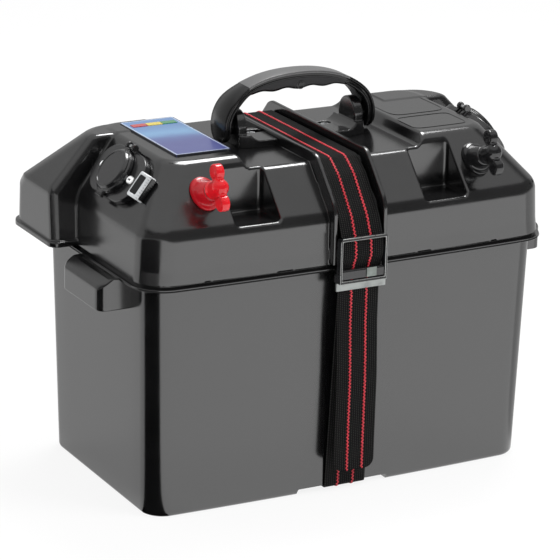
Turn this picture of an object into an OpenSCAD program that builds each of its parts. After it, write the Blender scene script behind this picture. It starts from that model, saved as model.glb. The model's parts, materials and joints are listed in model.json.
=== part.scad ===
// Portable battery box with a lift-off lid, outside terminals, two 12 volt
// sockets, a charge meter, a folding handle and a webbing hold-down strap.
// Millimetres. X runs along the long front face, Y to the back, Z up.
// The origin is at the centre of the feet, on the ground.

/* [Base] */
// Length of the base at its feet
base_l = 350; // [340:1:380]
// Width of the base at its feet
base_w = 194; // [188:1:210]
// Height of the ledge that the lid stands on
base_h = 199; // [185:1:230]
// How far each wall leans out between feet and ledge
wall_lean = 4.4; // [2:0.2:6]
// How far the long walls bow out at mid length
wall_bow = 2.8; // [1:0.2:4]
// Radius of the upright corners
corner_r = 20; // [14:1:28]
// Wall thickness of base and lid
wall = 3; // [2.6:0.1:3.6]
// Thickness of the base's floor
floor_t = 3.5; // [2.5:0.5:5]
// Height of the two broad feet
foot_h = 5; // [4:0.5:8]
// Width of the strap channel between the feet
foot_gap = 84; // [60:1:110]
// Reach of the ledge beyond the base wall
ledge_reach = 9; // [8.6:0.1:11]
// Thickness of the ledge
ledge_t = 4; // [3:0.5:6]
// Height of the locating lip above the ledge
lip_h = 6; // [4:0.5:9]

/* [Hand grips] */
// Length of a hand grip along the end wall
grip_len = 72; // [60:1:80]
// Place of the grips, measured back from mid width
grip_y = -30; // [-40:1:-20]
// Reach of a grip beyond the end wall at its lower edge
grip_reach = 28; // [24:1:32]
// Drop of a grip's lower edge below the ledge
grip_drop = 28; // [24:1:34]
// Height of a grip's upright outer face
grip_face = 20; // [16:1:22]
// Corner radius of a grip, seen from above
grip_r = 8; // [4:1:12]

/* [Lid] */
// Clearance between the locating lip and the lid wall
lid_gap = 2.5; // [2:0.1:3]
// Reach of the bead around the lid's lower edge
bead_reach = 2.5; // [1.5:0.1:3]
// Height of that bead
bead_h = 5; // [4:0.5:7]
// Height of the lid's skirt, from ledge to slopes
skirt_h = 41; // [36:1:48]
// Rise of the slopes, from skirt to high decks
slope_rise = 46; // [42:1:50]
// Half length of the high decks at the recessed ends
deck_x = 147; // [140:1:152]
// Half width of the decks
deck_y = 64; // [58:1:68]
// How far the centre deck lies below the high decks
deck_step = 10; // [6:1:14]
// Half length of the centre deck
centre_x = 80; // [76:1:86]
// Half length over the two back lobes
lobe_x = 207; // [200:1:212]
// Half length over the lobes at deck height
lobe_top_x = 167; // [162:1:172]
// Front wall of the lobes at the lower edge
lobe_y = 22; // [16:1:28]
// How far that wall leans back up to deck height
lobe_lean = 11; // [6:1:14]
// Rise of the lobes' end faces above the skirt
lobe_rise = 5; // [3:1:10]

/* [Front pockets] */
// Inner edge of a pocket from mid length
pocket_x0 = 67; // [64:1:72]
// Outer edge of a pocket
pocket_x1 = 106; // [98:1:108]
// Distance of a pocket's back wall from mid width
pocket_y = 70; // [67:1:76]

/* [Strap and buckle] */
// Width of the webbing
strap_w = 38; // [34:1:40]
// Thickness of the webbing
strap_t = 1.6; // [1.2:0.1:2]
// Gap between webbing and what it lies on
strap_gap = 0.3; // [0.3:0.1:0.5]
// Side clearance of the webbing between its ribs
strap_side = 2; // [1:0.5:3]
// Thickness of the two ribs beside the strap
rib_t = 3.5; // [2.5:0.5:5]
// Height of the ribs above the centre deck
rib_h = 8.5; // [6:0.5:10]
// Height of the ribs above the slopes, square to them
rib_slope_h = 13; // [9:0.5:15]
// Height of the ribs above the skirt
rib_skirt_h = 6.6; // [6:0.2:9]
// Side clearance between webbing and buckle rails
buckle_play = 0.6; // [0.4:0.1:1]
// Height of the buckle frame
buckle_h = 38; // [34:1:42]
// Depth of the buckle frame's side rails
buckle_t = 6.5; // [6:0.5:8]
// Height of the buckle's middle above the ledge
buckle_rise = 6; // [2:1:10]
// Width of the frame's side rails
rail_w = 1.9; // [1.5:0.1:2]
// Radius of the cam's pin
cam_pin_r = 1; // [0.8:0.1:1.2]
// Height of the toothed lip below the buckle frame
lip_drop = 6.5; // [4:0.5:8]
// Height of the loose tail's lower end
tail_z = 22; // [15:1:60]

/* [Handle] */
// Length over the handle's arms
handle_l = 141; // [130:1:146]
// Height of the pivots above the centre deck
pivot_h = 15; // [14.5:0.5:18]
// Rise of the handle above its pivots
handle_rise = 42; // [38:1:50]
// Thickness of the arms and the band
arm_t = 7; // [5.5:0.5:8]
// Width of the arms
arm_w = 27; // [24:1:28]
// Width of the band over the grip
band_w = 19; // [17:1:22]
// Half length of the grip between its seams
grip_x = 47; // [40:1:48]
// Extra depth of the grip at its middle
grip_belly = 7; // [4:0.5:8]
// Radius of the handle pins
pin_r = 4; // [3:0.5:5]
// Thickness of the pivot cheeks
cheek_w = 8.5; // [7:0.5:10]
// Gap between a cheek and its arm
cheek_gap = 5; // [4:0.5:6]
// Half width of the handle blocks
block_y = 20; // [16:1:22]
// Height of the handle blocks above the centre deck
block_h = 5.5; // [4:0.5:8]
// How far a block's outer corners are cut back for the folding arms
block_cut = 4; // [3:0.5:6]

/* [Terminals] */
// Distance of the terminals from mid length
term_x = 125; // [120:1:128]
// Height above the skirt at which a terminal leaves the slope
term_rise = 24; // [20:1:28]
// Angle of a terminal's axis above the horizontal
term_tilt = 25; // [20:1:40]
// Radius of the threaded stud
stud_r = 4; // [3:0.5:5]
// Distance of the wing's middle from the slope
wing_out = 30; // [28:1:34]
// Span from wing's middle to an ear's middle
ear_out = 12.4; // [11:0.2:14]
// Radius of an ear
ear_r = 6.6; // [5:0.2:8]
// Radius of the wing's hub
hub_r = 7; // [6:0.5:8]

/* [Sockets] */
// Place of the sockets, measured back from mid width
socket_y = -16; // [-18:1:-15]
// Height of the sockets above the skirt, on the end slopes
socket_rise = 25; // [22:1:27]
// Length of the socket plate
plate_l = 77; // [74:1:80]
// Width of the socket plate
plate_w = 43; // [40:1:46]
// Thickness of the socket plate
plate_t = 6; // [5:0.5:8]
// Distance of a plate's rivets from its middle
rivet_out = 24.8; // [24.6:0.2:28]
// Inner radius of the 12 volt socket
socket_r = 10.5; // [10.4:0.1:10.8]
// Depth of the socket below its plate's face
socket_deep = 45; // [40:1:48]
// Outer radius of the socket cap
cap_r = 20; // [18:0.5:21]
// Thickness of the socket cap
cap_t = 7; // [6:0.5:10]

/* [Breaker] */
// Length of the breaker housing, down the slope
breaker_l = 22; // [18:1:26]
// Depth of the housing, along Y
breaker_d = 11.5; // [10:0.5:14]
// Height of the housing beside the socket plate
breaker_h = 11; // [8:0.5:12]
// Height of the ribbed reset bar
reset_h = 3.8; // [3:0.2:5]
// Travel of the reset bar
reset_travel = 2; // [1:0.5:2.5]

/* [Meter] */
// Length of the meter panel, front to back
meter_l = 106; // [96:1:110]
// Width of the meter panel
meter_w = 49; // [44:1:52]
// Thickness of the meter panel
meter_t = 1.2; // [0.8:0.1:2]
// Length of one coloured lens
lens_l = 13; // [10:1:14]
// Width of a lens
lens_w = 7; // [5:0.5:8]

/* [Hidden] */

arc_n = 6;
bow_n = 8;
run = 0.05;
fn_round = 48;
fn_small = 32;

// Heights that follow from the ledge
break_z = base_h + skirt_h;
deck_z = break_z + slope_rise;
lobe_break_z = break_z + lobe_rise;
grip_z = base_h - grip_drop;
buckle_z = base_h + buckle_rise;
term_z = break_z + term_rise;
socket_z = break_z + socket_rise;
buckle_w = strap_w + 2 * (rail_w + buckle_play);
cheek_x1 = handle_l / 2 - arm_t - cheek_gap;
cheek_x0 = cheek_x1 - cheek_w;

// Walls of the base: half length and half width at a height
function base_x(z) = base_l / 2 + wall_lean * z / base_h;
function base_y(z) = base_w / 2 + wall_lean * z / base_h;

lid_out = lid_gap + wall;
lid_x = base_x(base_h) + lid_out;
lid_y = base_y(base_h) + lid_out;
lid_r = corner_r + lid_out;
skirt_lean = 1;
break_x = lid_x - 2 * skirt_lean;
break_y = lid_y - skirt_lean;
slope_run = break_y - deck_y;
slope_a = atan2(slope_rise, slope_run);
end_run = break_x - deck_x;
end_a = atan2(slope_rise, end_run);
centre_z = deck_z - deck_step;
deck_r = 14;
edge_r = 3;

// Front and back slopes: distance from mid width at a height
function slope_y(z) = deck_y + (deck_z - z) * slope_run / slope_rise;
// End slopes: distance from mid length at a height
function slope_x(z) = deck_x + (deck_z - z) * end_run / slope_rise;

// ---- outlines and lofts ----

// Quarter arc from angle a0
function arc(cx, cy, r, a0) =
    [for (i = [0:arc_n]) [cx + r * cos(a0 + i * 90 / arc_n), cy + r * sin(a0 + i * 90 / arc_n)]];

// One long side between its corners, bowed out as a parabola; s is 1 for the back, -1 for the front
function bowed_side(hx, hy, bow, s) =
    [for (i = [1:bow_n - 1]) let (u = 1 - 2 * i / bow_n) [s * u * hx, s * (hy + bow * (1 - u * u))]];

// Rounded rectangle with bowed long sides, anticlockwise from +X
function outline(hx, hy, r, bow) = concat(
    arc(hx - r, hy - r, r, 0),
    bowed_side(hx - r, hy, bow, 1),
    arc(r - hx, hy - r, r, 90),
    arc(r - hx, r - hy, r, 180),
    bowed_side(hx - r, hy, bow, -1),
    arc(hx - r, r - hy, r, 270));

// Plan of a lobe on the +X end, open towards the middle of the lid
function lobe_plan(x1, y0, y1, r0, r1) = concat(
    [[deck_x - 40, y0]],
    arc(x1 - r0, y0 + r0, r0, 270),
    arc(x1 - r1, y1 - r1, r1, 0),
    [[deck_x - 40, y1]]);

// Solid through a stack of rings, each [height, outline] with equally many points
module loft(rings) {
    n = len(rings[0][1]);
    m = len(rings);
    points = [for (r = rings, p = r[1]) [p[0], p[1], r[0]]];
    sides = [for (k = [0:m - 2], i = [0:n - 1], t = [0, 1])
        let (j = (i + 1) % n, a = k * n + i, b = k * n + j)
        t == 0 ? [a, a + n, b + n] : [a, b + n, b]];
    caps = [[for (i = [0:n - 1]) i], [for (i = [n - 1:-1:0]) (m - 1) * n + i]];
    polyhedron(points, concat(caps, sides), convexity = 4);
}

// Prism along X from a polygon of [y, z] points
module along_x(pts, x0, x1) {
    translate([x0, 0, 0]) rotate([90, 0, 90]) linear_extrude(x1 - x0) polygon(pts);
}

// Prism along Y from a polygon of [x, z] points
module along_y(pts, y0, y1) {
    translate([0, y1, 0]) rotate([90, 0, 0]) linear_extrude(y1 - y0) polygon(pts);
}

// Rod along X
module rod_x(r, x0, x1, y, z, fn = fn_small) {
    translate([x0, y, z]) rotate([0, 90, 0]) cylinder(r = r, h = x1 - x0, $fn = fn);
}

// Both ends of the box
module both_ends() {
    children();
    mirror([1, 0, 0]) children();
}

// Unit normal of a polyline at point i, turned left of its run
function run_dir(p, i) =
    let (a = p[max(i - 1, 0)], b = p[min(i + 1, len(p) - 1)], d = b - a) d / norm(d);
function left_of(d) = [-d[1], d[0]];

// Flat band of thickness t with its middle on a polyline
function band(p, t) = concat(
    [for (i = [0:len(p) - 1]) p[i] + left_of(run_dir(p, i)) * t / 2],
    [for (i = [len(p) - 1:-1:0]) p[i] - left_of(run_dir(p, i)) * t / 2]);

// ---- base ----

inner_floor = foot_h + floor_t;
bottom_chamfer = 2.5;

module base_tub() {
    color("#2b2b2e") {
        difference() {
            union() {
                difference() {
                    loft([
                        [0, outline(base_x(0) - bottom_chamfer, base_y(0) - bottom_chamfer,
                            corner_r - bottom_chamfer, wall_bow)],
                        [bottom_chamfer, outline(base_x(bottom_chamfer), base_y(bottom_chamfer),
                            corner_r, wall_bow)],
                        [base_h, outline(base_x(base_h), base_y(base_h), corner_r, wall_bow)]]);
                    loft([
                        [floor_t, outline(base_x(0) - wall, base_y(0) - wall, corner_r - wall, wall_bow)],
                        [base_h + 1, outline(base_x(base_h) - wall, base_y(base_h) - wall,
                            corner_r - wall, wall_bow)]]);
                }
                hump();
            }
            strap_channel();
        }
        ledge();
        both_ends() hand_grip();
    }
}

// Raised floor over the strap channel
module hump() {
    half = foot_gap / 2 + wall;
    translate([-half, -base_y(0) + wall / 2, 1]) cube([2 * half, 2 * base_y(0) - wall, inner_floor - 1]);
}

module strap_channel() {
    reach = base_y(base_h) + wall_bow;
    translate([-foot_gap / 2, -reach, -1]) cube([foot_gap, 2 * reach, foot_h + 1]);
}

// Ledge around the top, and the lip that locates the lid
module ledge() {
    top = base_h;
    inner = outline(base_x(top) - wall, base_y(top) - wall, corner_r - wall, wall_bow);
    translate([0, 0, top - ledge_t]) linear_extrude(ledge_t) difference() {
        polygon(outline(base_x(top) + ledge_reach, base_y(top) + ledge_reach, corner_r + ledge_reach, wall_bow));
        polygon(inner);
    }
    translate([0, 0, top - ledge_t]) linear_extrude(ledge_t + lip_h) difference() {
        polygon(outline(base_x(top), base_y(top), corner_r, wall_bow));
        polygon(inner);
    }
}

// Hand grip, open underneath; its top slopes up to the ledge
grip_x0 = base_x(grip_z) - wall / 2;
grip_x1 = base_x(grip_z) + grip_reach;
grip_top = base_h - ledge_t / 2;

module grip_block(inset) {
    slope = grip_top - grip_z - grip_face;
    low = grip_z - (inset > 0 ? 1 : 0);
    face = grip_z + grip_face - inset / 2;
    half = grip_len / 2 - inset;
    x1 = grip_x1 - inset;
    intersection() {
        along_y([
            [grip_x0, low],
            [x1, low],
            [x1, face],
            [x1 - slope * 1.6, face + slope - inset / 2],
            [grip_x0, face + slope - inset / 2]], grip_y - half, grip_y + half);
        translate([0, grip_y, 0]) linear_extrude(base_h) polygon([
            [grip_x0 - 1, -half],
            [x1 - grip_r, -half],
            for (i = [0:arc_n]) [x1 - grip_r + grip_r * sin(i * 90 / arc_n),
                -half + grip_r - grip_r * cos(i * 90 / arc_n)],
            for (i = [0:arc_n]) [x1 - grip_r + grip_r * cos(i * 90 / arc_n),
                half - grip_r + grip_r * sin(i * 90 / arc_n)],
            [grip_x0 - 1, half]]);
    }
}

module hand_grip() {
    difference() {
        grip_block(0);
        intersection() {
            grip_block(wall);
            translate([base_x(base_h), grip_y - grip_len, 0]) cube([grip_reach, 2 * grip_len, base_h]);
        }
    }
}

// ---- lid ----

lobe_r = 12;
lobe_back_r = 45;
lobe_top_r = 6;
lobe_top_back_r = 24;

// Rings of the lid's body, drawn in by t on every face
function lid_rings(t) =
    let (side = t / sin(slope_a), lift = t > 0 ? -1 : 0)
    [[base_h + lift, outline(lid_x - t, lid_y - t, lid_r - t, wall_bow)],
     [break_z - t / 3, outline(break_x - t, break_y - t, lid_r - t, wall_bow * 0.9)],
     [deck_z - t - edge_r, outline(slope_x(deck_z - t - edge_r) - side, slope_y(deck_z - t - edge_r) - side,
         deck_r, wall_bow * 0.1)],
     [deck_z - t - edge_r * 0.3, outline(slope_x(deck_z - t) - side + edge_r * 0.1,
         slope_y(deck_z - t) - side + edge_r * 0.1, deck_r - 1, wall_bow * 0.1)],
     [deck_z - t, outline(slope_x(deck_z - t) - side - edge_r, slope_y(deck_z - t) - side - edge_r,
         deck_r - edge_r, wall_bow * 0.1)]];

// One ring of a lobe; its back corner shrinks where the lobe is too narrow for it
function lobe_ring(z, x1, y0, y1, r0, r1) = [z, lobe_plan(x1, y0, y1, r0, min(r1, y1 - y0 - r0 - 2))];

// Rings of the lobe on the +X end, drawn in by t
function lobe_rings(t) =
    let (side = t / sin(slope_a), y = lobe_y + t, top = deck_z - t, hide = 0.6)
    [lobe_ring(base_h - (t > 0 ? 1 : 0), lobe_x - t, y, lid_y - t - hide, lobe_r, lobe_back_r),
     lobe_ring(break_z - t / 3, lobe_x - t - 0.8, y + lobe_lean * 0.4, break_y - t - hide, lobe_r, lobe_back_r),
     lobe_ring(lobe_break_z - t / 3, lobe_x - t - 1, y + lobe_lean * 0.5,
         slope_y(lobe_break_z) - side - hide, lobe_r, lobe_back_r),
     lobe_ring(top - edge_r * 0.4, lobe_top_x - side + edge_r * 0.4, y + lobe_lean,
         slope_y(top - edge_r * 0.4) - side - hide, lobe_top_r, lobe_top_back_r),
     lobe_ring(top, lobe_top_x - side - edge_r, y + lobe_lean + edge_r,
         slope_y(top) - side - edge_r, lobe_top_r, lobe_top_back_r)];

module lid_shell() {
    color("#2b2b2e") difference() {
        union() {
            difference() {
                union() {
                    lid_walls();
                    bead();
                    centre_floor();
                    both_ends() {
                        step_wall();
                        pocket_liner();
                    }
                }
                centre_cut();
                both_ends() pocket_cut();
            }
            both_ends() strap_rib();
            board_posts();
        }
        both_ends() {
            terminal_bore();
            socket_bore();
            rivet_bores();
            screw_bore();
        }
        lens_cut();
    }
}

module lid_walls() {
    difference() {
        union() {
            loft(lid_rings(0));
            both_ends() loft(lobe_rings(0));
        }
        loft(lid_rings(wall));
        both_ends() loft(lobe_rings(wall));
    }
}

// Bead around the lower edge, following the lobes
module bead() {
    mid = wall / 2;
    translate([0, 0, base_h]) linear_extrude(bead_h) difference() {
        union() {
            polygon(outline(lid_x + bead_reach, lid_y + bead_reach, lid_r + bead_reach, wall_bow));
            both_ends() polygon(lobe_plan(lobe_x + bead_reach, lobe_y - bead_reach, lid_y + bead_reach / 2,
                lobe_r + bead_reach, lobe_back_r));
        }
        polygon(outline(lid_x - mid, lid_y - mid, lid_r - mid, wall_bow));
        both_ends() polygon(lobe_plan(lobe_x - mid, lobe_y + mid, lid_y - mid - 0.6, lobe_r, lobe_back_r));
    }
}

step_lean = 4;

// Room above the lowered centre deck
module centre_cut() {
    top = deck_z + 10;
    lean = step_lean * (top - centre_z) / deck_step;
    along_y([[-centre_x, centre_z], [centre_x, centre_z], [centre_x + lean, top], [-centre_x - lean, top]],
        -break_y, break_y);
}

// Section of the lid across its slopes, drawn in by t, from z0 to z1
function cross_section(t, z0, z1) =
    [[-slope_y(z0) + t, z0], [slope_y(z0) - t, z0], [slope_y(z1) - t, z1], [-slope_y(z1) + t, z1]];

// Floor of the lowered centre deck
module centre_floor() {
    along_x(cross_section(1.2, centre_z - wall, centre_z + 1), -centre_x - wall, centre_x + wall);
}

// Wall between the centre deck and a high deck
module step_wall() {
    low = centre_z - wall;
    top = deck_z - 1;
    lean = step_lean * (top - centre_z) / deck_step;
    intersection() {
        along_y([[centre_x - 1, low], [centre_x + wall, low], [centre_x + wall + lean, top],
            [centre_x + lean - 1, top]], -break_y, break_y);
        along_x(cross_section(1.2, low, top), centre_x - wall, centre_x + 2 * wall + step_lean);
    }
}

// Room of a pocket: open to the front and the top
module pocket_cut() {
    reach = lid_y + 20;
    along_x([[-reach, break_z], [-pocket_y, break_z], [-pocket_y, deck_z + 1], [-reach, deck_z + 1]],
        pocket_x0, pocket_x1);
}

// Walls and floor of a pocket, inside the lid
module pocket_liner() {
    low = break_z - wall;
    top = deck_z - wall + 1;
    along_x([
        [-break_y + 1.2, low],
        [-pocket_y + wall, low],
        [-pocket_y + wall, top],
        [-slope_y(top) + 1.2, top],
        [-break_y + 1.2, break_z]], pocket_x0 - wall, pocket_x1 + wall);
}

// Rib beside the strap, over deck, slopes and skirt
rib_x0 = strap_w / 2 + strap_side;
rib_x1 = rib_x0 + rib_t;
rib_z = centre_z + rib_h;
rib_dy = rib_slope_h / sin(slope_a);
rib_y_top = slope_y(rib_z) + rib_dy;
rib_y_low = lid_y + wall_bow + rib_skirt_h;
rib_break_z = deck_z - (rib_y_low - rib_dy - deck_y) * slope_rise / slope_run;
rib_low_z = base_h + 1.5;

module strap_rib() {
    sink = wall / 2;
    y_skirt = lid_y + wall_bow - sink;
    y_break = break_y + wall_bow * 0.9 - sink;
    y_deck = slope_y(centre_z) - sink;
    half = [
        [rib_y_low, rib_low_z], [rib_y_low, rib_break_z], [rib_y_top, rib_z]];
    under = [[y_skirt, rib_low_z], [y_break, break_z], [y_deck, centre_z - sink]];
    along_x(concat(
        [for (p = half) p],
        [for (i = [2:-1:0]) [-half[i][0], half[i][1]]],
        [for (p = under) [-p[0], p[1]]],
        [for (i = [2:-1:0]) under[i]]), rib_x0, rib_x1);
}

// Handle blocks
pivot_z = centre_z + pivot_h;
cheek_r = pivot_h - 1;
saddle_n = 8;
block_gap = 0.1;

// Block on the +X side: it stands on the centre deck, and one screw holds it down
module handle_block() {
    color("#2b2b2e") difference() {
        union() {
            intersection() {
                saddle();
                linear_extrude(deck_z * 2) polygon([
                    [0, -block_y], [cheek_x0, -block_y], [cheek_x1, block_cut - block_y],
                    [cheek_x1, block_y - block_cut], [cheek_x0, block_y], [0, block_y]]);
            }
            rod_x(cheek_r, cheek_x0, cheek_x1, 0, pivot_z, fn_round);
            translate([cheek_x0, -cheek_r, centre_z]) cube([cheek_x1 - cheek_x0, 2 * cheek_r, pivot_h]);
        }
        handle_bore();
        screw_pocket();
    }
}

// Low saddle that rises in a curve to the cheek
module saddle() {
    top = centre_z + block_h;
    saddle_r = 10;
    sweep = 60;
    x0 = rib_x1 + block_gap;
    along_y(concat(
        [[x0, centre_z], [cheek_x1, centre_z], [cheek_x1, top + saddle_r * (1 - cos(sweep))]],
        [for (i = [saddle_n:-1:0]) let (a = i * sweep / saddle_n)
            [cheek_x0 - saddle_r * (1 - sin(a)), top + saddle_r * (1 - cos(a))]],
        [[x0, top]]), -block_y, block_y);
}

module left_handle_block() { mirror([1, 0, 0]) handle_block(); }
module right_handle_block() { handle_block(); }

module handle_bore() {
    rod_x(pin_r + run, cheek_x0 - 1, cheek_x1 + 1, 0, pivot_z, fn_round);
}

// ---- strap ----

// Middle of the webbing from the face it lies on
lap = strap_gap + strap_t / 2;
strap_deck_z = centre_z + lap;
ledge_y = base_y(base_h) + wall_bow + ledge_reach;
strap_low_z = foot_h - lap;
strap_lower_y = ledge_y + lap;
tail_y = strap_lower_y + strap_t + strap_gap;

// Buckle, seen from the side: back and front of the rails, ends, bars and pin
rib_clear = 0.5;
bar_h = 2.5;
bar_d = 2.5;
buckle_back = rib_y_low + rib_clear;
buckle_front = buckle_back + buckle_t;
buckle_top = buckle_z + buckle_h / 2;
buckle_low = buckle_z - buckle_h / 2;
anchor_z = buckle_low + 4;
anchor_d = strap_t + 0.2;
cam_r = 1.8;
cam_pin_y = buckle_front - 3;
cam_pin_z = buckle_low + 9.5;
behind_cam_y = cam_pin_y - cam_r - strap_gap - strap_t / 2;
bulge_y = buckle_front - 1.5;
tail_top = buckle_low + 3.5;

// Webbing over the lid, seen from +X: from the buckle in front to the ledge behind
strap_over = [
    [-tail_y, tail_top + 0.5],
    [-behind_cam_y, cam_pin_z],
    [-behind_cam_y - 0.4, cam_pin_z + 3],
    [-bulge_y, buckle_z + 2],
    [-bulge_y + 0.8, buckle_z + 8],
    [-buckle_front + bar_d + lap, buckle_top - 2],
    [-rib_y_low + 0.5, buckle_top + 6],
    [-rib_y_low + 4, break_z - 2],
    [-slope_y(deck_z - 20) - 7, deck_z - 19.5],
    [-slope_y(centre_z) - 1, strap_deck_z],
    [-slope_y(centre_z) + 4, strap_deck_z],
    [slope_y(centre_z) - 4, strap_deck_z],
    [slope_y(centre_z) + 1, strap_deck_z],
    [slope_y(deck_z - 20) + 7, deck_z - 19.5],
    [rib_y_low + 2.2, break_z - 4],
    [strap_lower_y + 1, base_h + 14],
    [strap_lower_y, base_h + 1]];

// Webbing under the base, up both walls
under_y = base_y(0) + wall_bow;
strap_under = [
    [-strap_lower_y, anchor_z - strap_gap],
    [-strap_lower_y, anchor_z - 6],
    [-under_y - lap - 0.9, foot_h + 6],
    [-under_y - lap - 0.7, foot_h],
    [-under_y - 0.7, strap_low_z],
    [under_y + 0.7, strap_low_z],
    [under_y + lap + 0.7, foot_h],
    [under_y + lap + 0.9, foot_h + 6],
    [strap_lower_y, base_h - ledge_t - 4],
    [strap_lower_y, base_h - 0.5]];

module webbing(path) {
    color("#161616") along_x(band(path, strap_t), -strap_w / 2, strap_w / 2);
}

module strap_upper() {
    webbing(strap_over);
}

module strap_lower() {
    webbing(strap_under);
}

// Loose end: hangs straight down in front, with rounded lower corners
module strap_tail() {
    corner = 8;
    half = strap_w / 2;
    color("#161616") translate([0, -tail_y + strap_t / 2, 0]) rotate([90, 0, 0]) linear_extrude(strap_t) union() {
        translate([-half, tail_z + corner]) square([strap_w, tail_top - tail_z - corner]);
        translate([-half + corner, tail_z]) square([strap_w - 2 * corner, corner]);
        for (s = [-1, 1]) translate([s * (half - corner), tail_z + corner]) circle(corner, $fn = fn_small);
    }
}

// Open frame: two deep rails, a bar above and below, and the bar that the lower strap is sewn round
module buckle_frame() {
    half = buckle_w / 2;
    color("#1c1c1e") difference() {
        union() {
            for (s = [0, 1]) mirror([s, 0, 0]) translate([half - rail_w, 0, 0]) {
                translate([0, -buckle_front, buckle_low]) cube([rail_w, buckle_t, buckle_h]);
                translate([0, -buckle_front, buckle_low])
                    cube([rail_w, buckle_front - ledge_y - strap_gap, anchor_z - buckle_low + bar_h]);
            }
            translate([-half, -buckle_front, buckle_low]) cube([buckle_w, bar_d, bar_h]);
            translate([-half, -buckle_front, buckle_top - bar_h]) cube([buckle_w, bar_d, bar_h]);
            translate([-half, -ledge_y - strap_gap - anchor_d, anchor_z]) cube([buckle_w, anchor_d, bar_h]);
        }
        rod_x(cam_pin_r + run, -buckle_w, buckle_w, -cam_pin_y, cam_pin_z);
    }
}

// Toothed lip in front of the tail, held under the frame's rails
module buckle_lip() {
    lip_t = 2;
    half = buckle_w / 2 + 1.1;
    teeth = 11;
    pitch = 2 * half / teeth;
    back = tail_y + strap_t / 2 + strap_gap;
    color("#a9adad") {
        translate([-half, -back - lip_t, buckle_low - lip_drop]) cube([2 * half, lip_t, lip_drop - 1.4]);
        for (i = [1:teeth - 2]) translate([-half + i * pitch + pitch / 4, -back - lip_t, buckle_low - lip_drop])
            cube([pitch / 2, lip_t, lip_drop - 0.5]);
        for (s = [0, 1]) mirror([s, 0, 0]) translate([half - 1.1 - rail_w, -back - lip_t, buckle_low - lip_drop])
            cube([rail_w + 1.1, lip_t, lip_drop]);
    }
}

module cam_pin() {
    color("silver") rod_x(cam_pin_r, -buckle_w / 2, buckle_w / 2, -cam_pin_y, cam_pin_z);
}

cam_x = buckle_w / 2 - rail_w - 0.4;
cam_low = 6;

// Bar that pinches the webbing; it turns outwards about its pin
module cam() {
    color("#1c1c1e") difference() {
        union() {
            rod_x(cam_r, -cam_x, cam_x, -cam_pin_y, cam_pin_z);
            translate([-cam_x, -cam_pin_y - cam_r, cam_pin_z - cam_low]) cube([2 * cam_x, 2 * cam_r, cam_low]);
        }
        rod_x(cam_pin_r + run, -buckle_w, buckle_w, -cam_pin_y, cam_pin_z);
    }
}

// Small bright plate on the cam
module cam_plate() {
    plate = 9;
    t = 0.8;
    color("#c9cfcd") translate([plate / 3, -cam_pin_y - cam_r - t, cam_pin_z - cam_low + 0.3])
        cube([plate, t, plate - 1.4]);
}

// ---- handle ----

arm_x1 = handle_l / 2;
arm_x0 = arm_x1 - arm_t;
arch_n = 28;
arch_pow = 2.2;
handle_top = pivot_z + handle_rise;
core_t = 3;

// Rounded arch, as a half superellipse of half length a and rise b
function arch(a, b) = [for (i = [0:arch_n]) let (q = 180 * i / arch_n, c = cos(q), s = sin(q))
    [a * sign(c) * pow(abs(c), 2 / arch_pow), pivot_z + b * pow(abs(s), 2 / arch_pow)]];

module arch_solid(inset, y) {
    along_y(arch(arm_x1 - inset, handle_rise - inset), -y, y);
}

// Side view limits: arms full width, band narrower
module handle_width(extra) {
    w0 = arm_w / 2 + extra;
    w1 = band_w / 2 + extra;
    z0 = pivot_z + handle_rise * 0.45;
    z1 = pivot_z + handle_rise * 0.8;
    along_x([[-w0, pivot_z - arm_w], [w0, pivot_z - arm_w], [w0, z0], [w1, z1], [w1, handle_top + 5],
        [-w1, handle_top + 5], [-w1, z1], [-w0, z0]], -arm_x1 - 5, arm_x1 + 5);
}

module handle_bow(inset_out, inset_in) {
    difference() {
        arch_solid(inset_out, arm_w);
        arch_solid(inset_in, arm_w + 1);
    }
}

module handle_frame() {
    hub_gap = 0.5;
    color("#232325") difference() {
        union() {
            intersection() {
                difference() {
                    handle_bow(0, arm_t);
                    grip_room();
                }
                handle_width(0);
            }
            intersection() {
                handle_bow(2, 2 + core_t);
                along_y([[-grip_x - 1, pivot_z], [grip_x + 1, pivot_z],
                    [grip_x + 1, handle_top], [-grip_x - 1, handle_top]], -band_w / 3, band_w / 3);
            }
            both_ends() {
                intersection() {
                    rod_x(arm_w / 2, arm_x0, arm_x1, 0, pivot_z, fn_round);
                    translate([0, -arm_w, pivot_z - arm_w]) cube([arm_x1 + 1, 2 * arm_w, arm_w]);
                }
                rod_x(pin_r + 3, cheek_x1 + hub_gap, arm_x0 + 1, 0, pivot_z);
            }
        }
        both_ends() rod_x(pin_r + run, cheek_x1, arm_x1 - 2.5, 0, pivot_z, fn_round);
    }
}

// Space that the grip fills between its two seams
module grip_room() {
    along_y([[-grip_x, pivot_z], [grip_x, pivot_z], [grip_x, handle_top + 1], [-grip_x, handle_top + 1]],
        -arm_w, arm_w);
}

// Underside of the grip: arch, a belly and four finger waves
function grip_under(x) =
    let (u = x / grip_x, inner = handle_rise - arm_t, a = arm_x1 - arm_t)
    pivot_z + inner * pow(1 - pow(abs(x) / a, arch_pow), 1 / arch_pow)
    - grip_belly * (1 - u * u) - 0.9 * (1 - u * u * u * u) * (1 + cos(u * 720));

grip_n = 40;

module handle_grip() {
    skin = 0.1;
    color("#38383a") difference() {
        intersection() {
            arch_solid(0, arm_w);
            along_y(concat(
                [[grip_x - skin, handle_top + 1], [-grip_x + skin, handle_top + 1]],
                [for (i = [0:grip_n]) let (x = (grip_x - skin) * (2 * i / grip_n - 1)) [x, grip_under(x)]]),
                -band_w / 2, band_w / 2);
        }
        intersection() {
            handle_bow(2, 2 + core_t);
            along_y([[-grip_x, pivot_z], [grip_x, pivot_z],
                [grip_x, handle_top], [-grip_x, handle_top]], -band_w / 3, band_w / 3);
        }
    }
}

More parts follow.
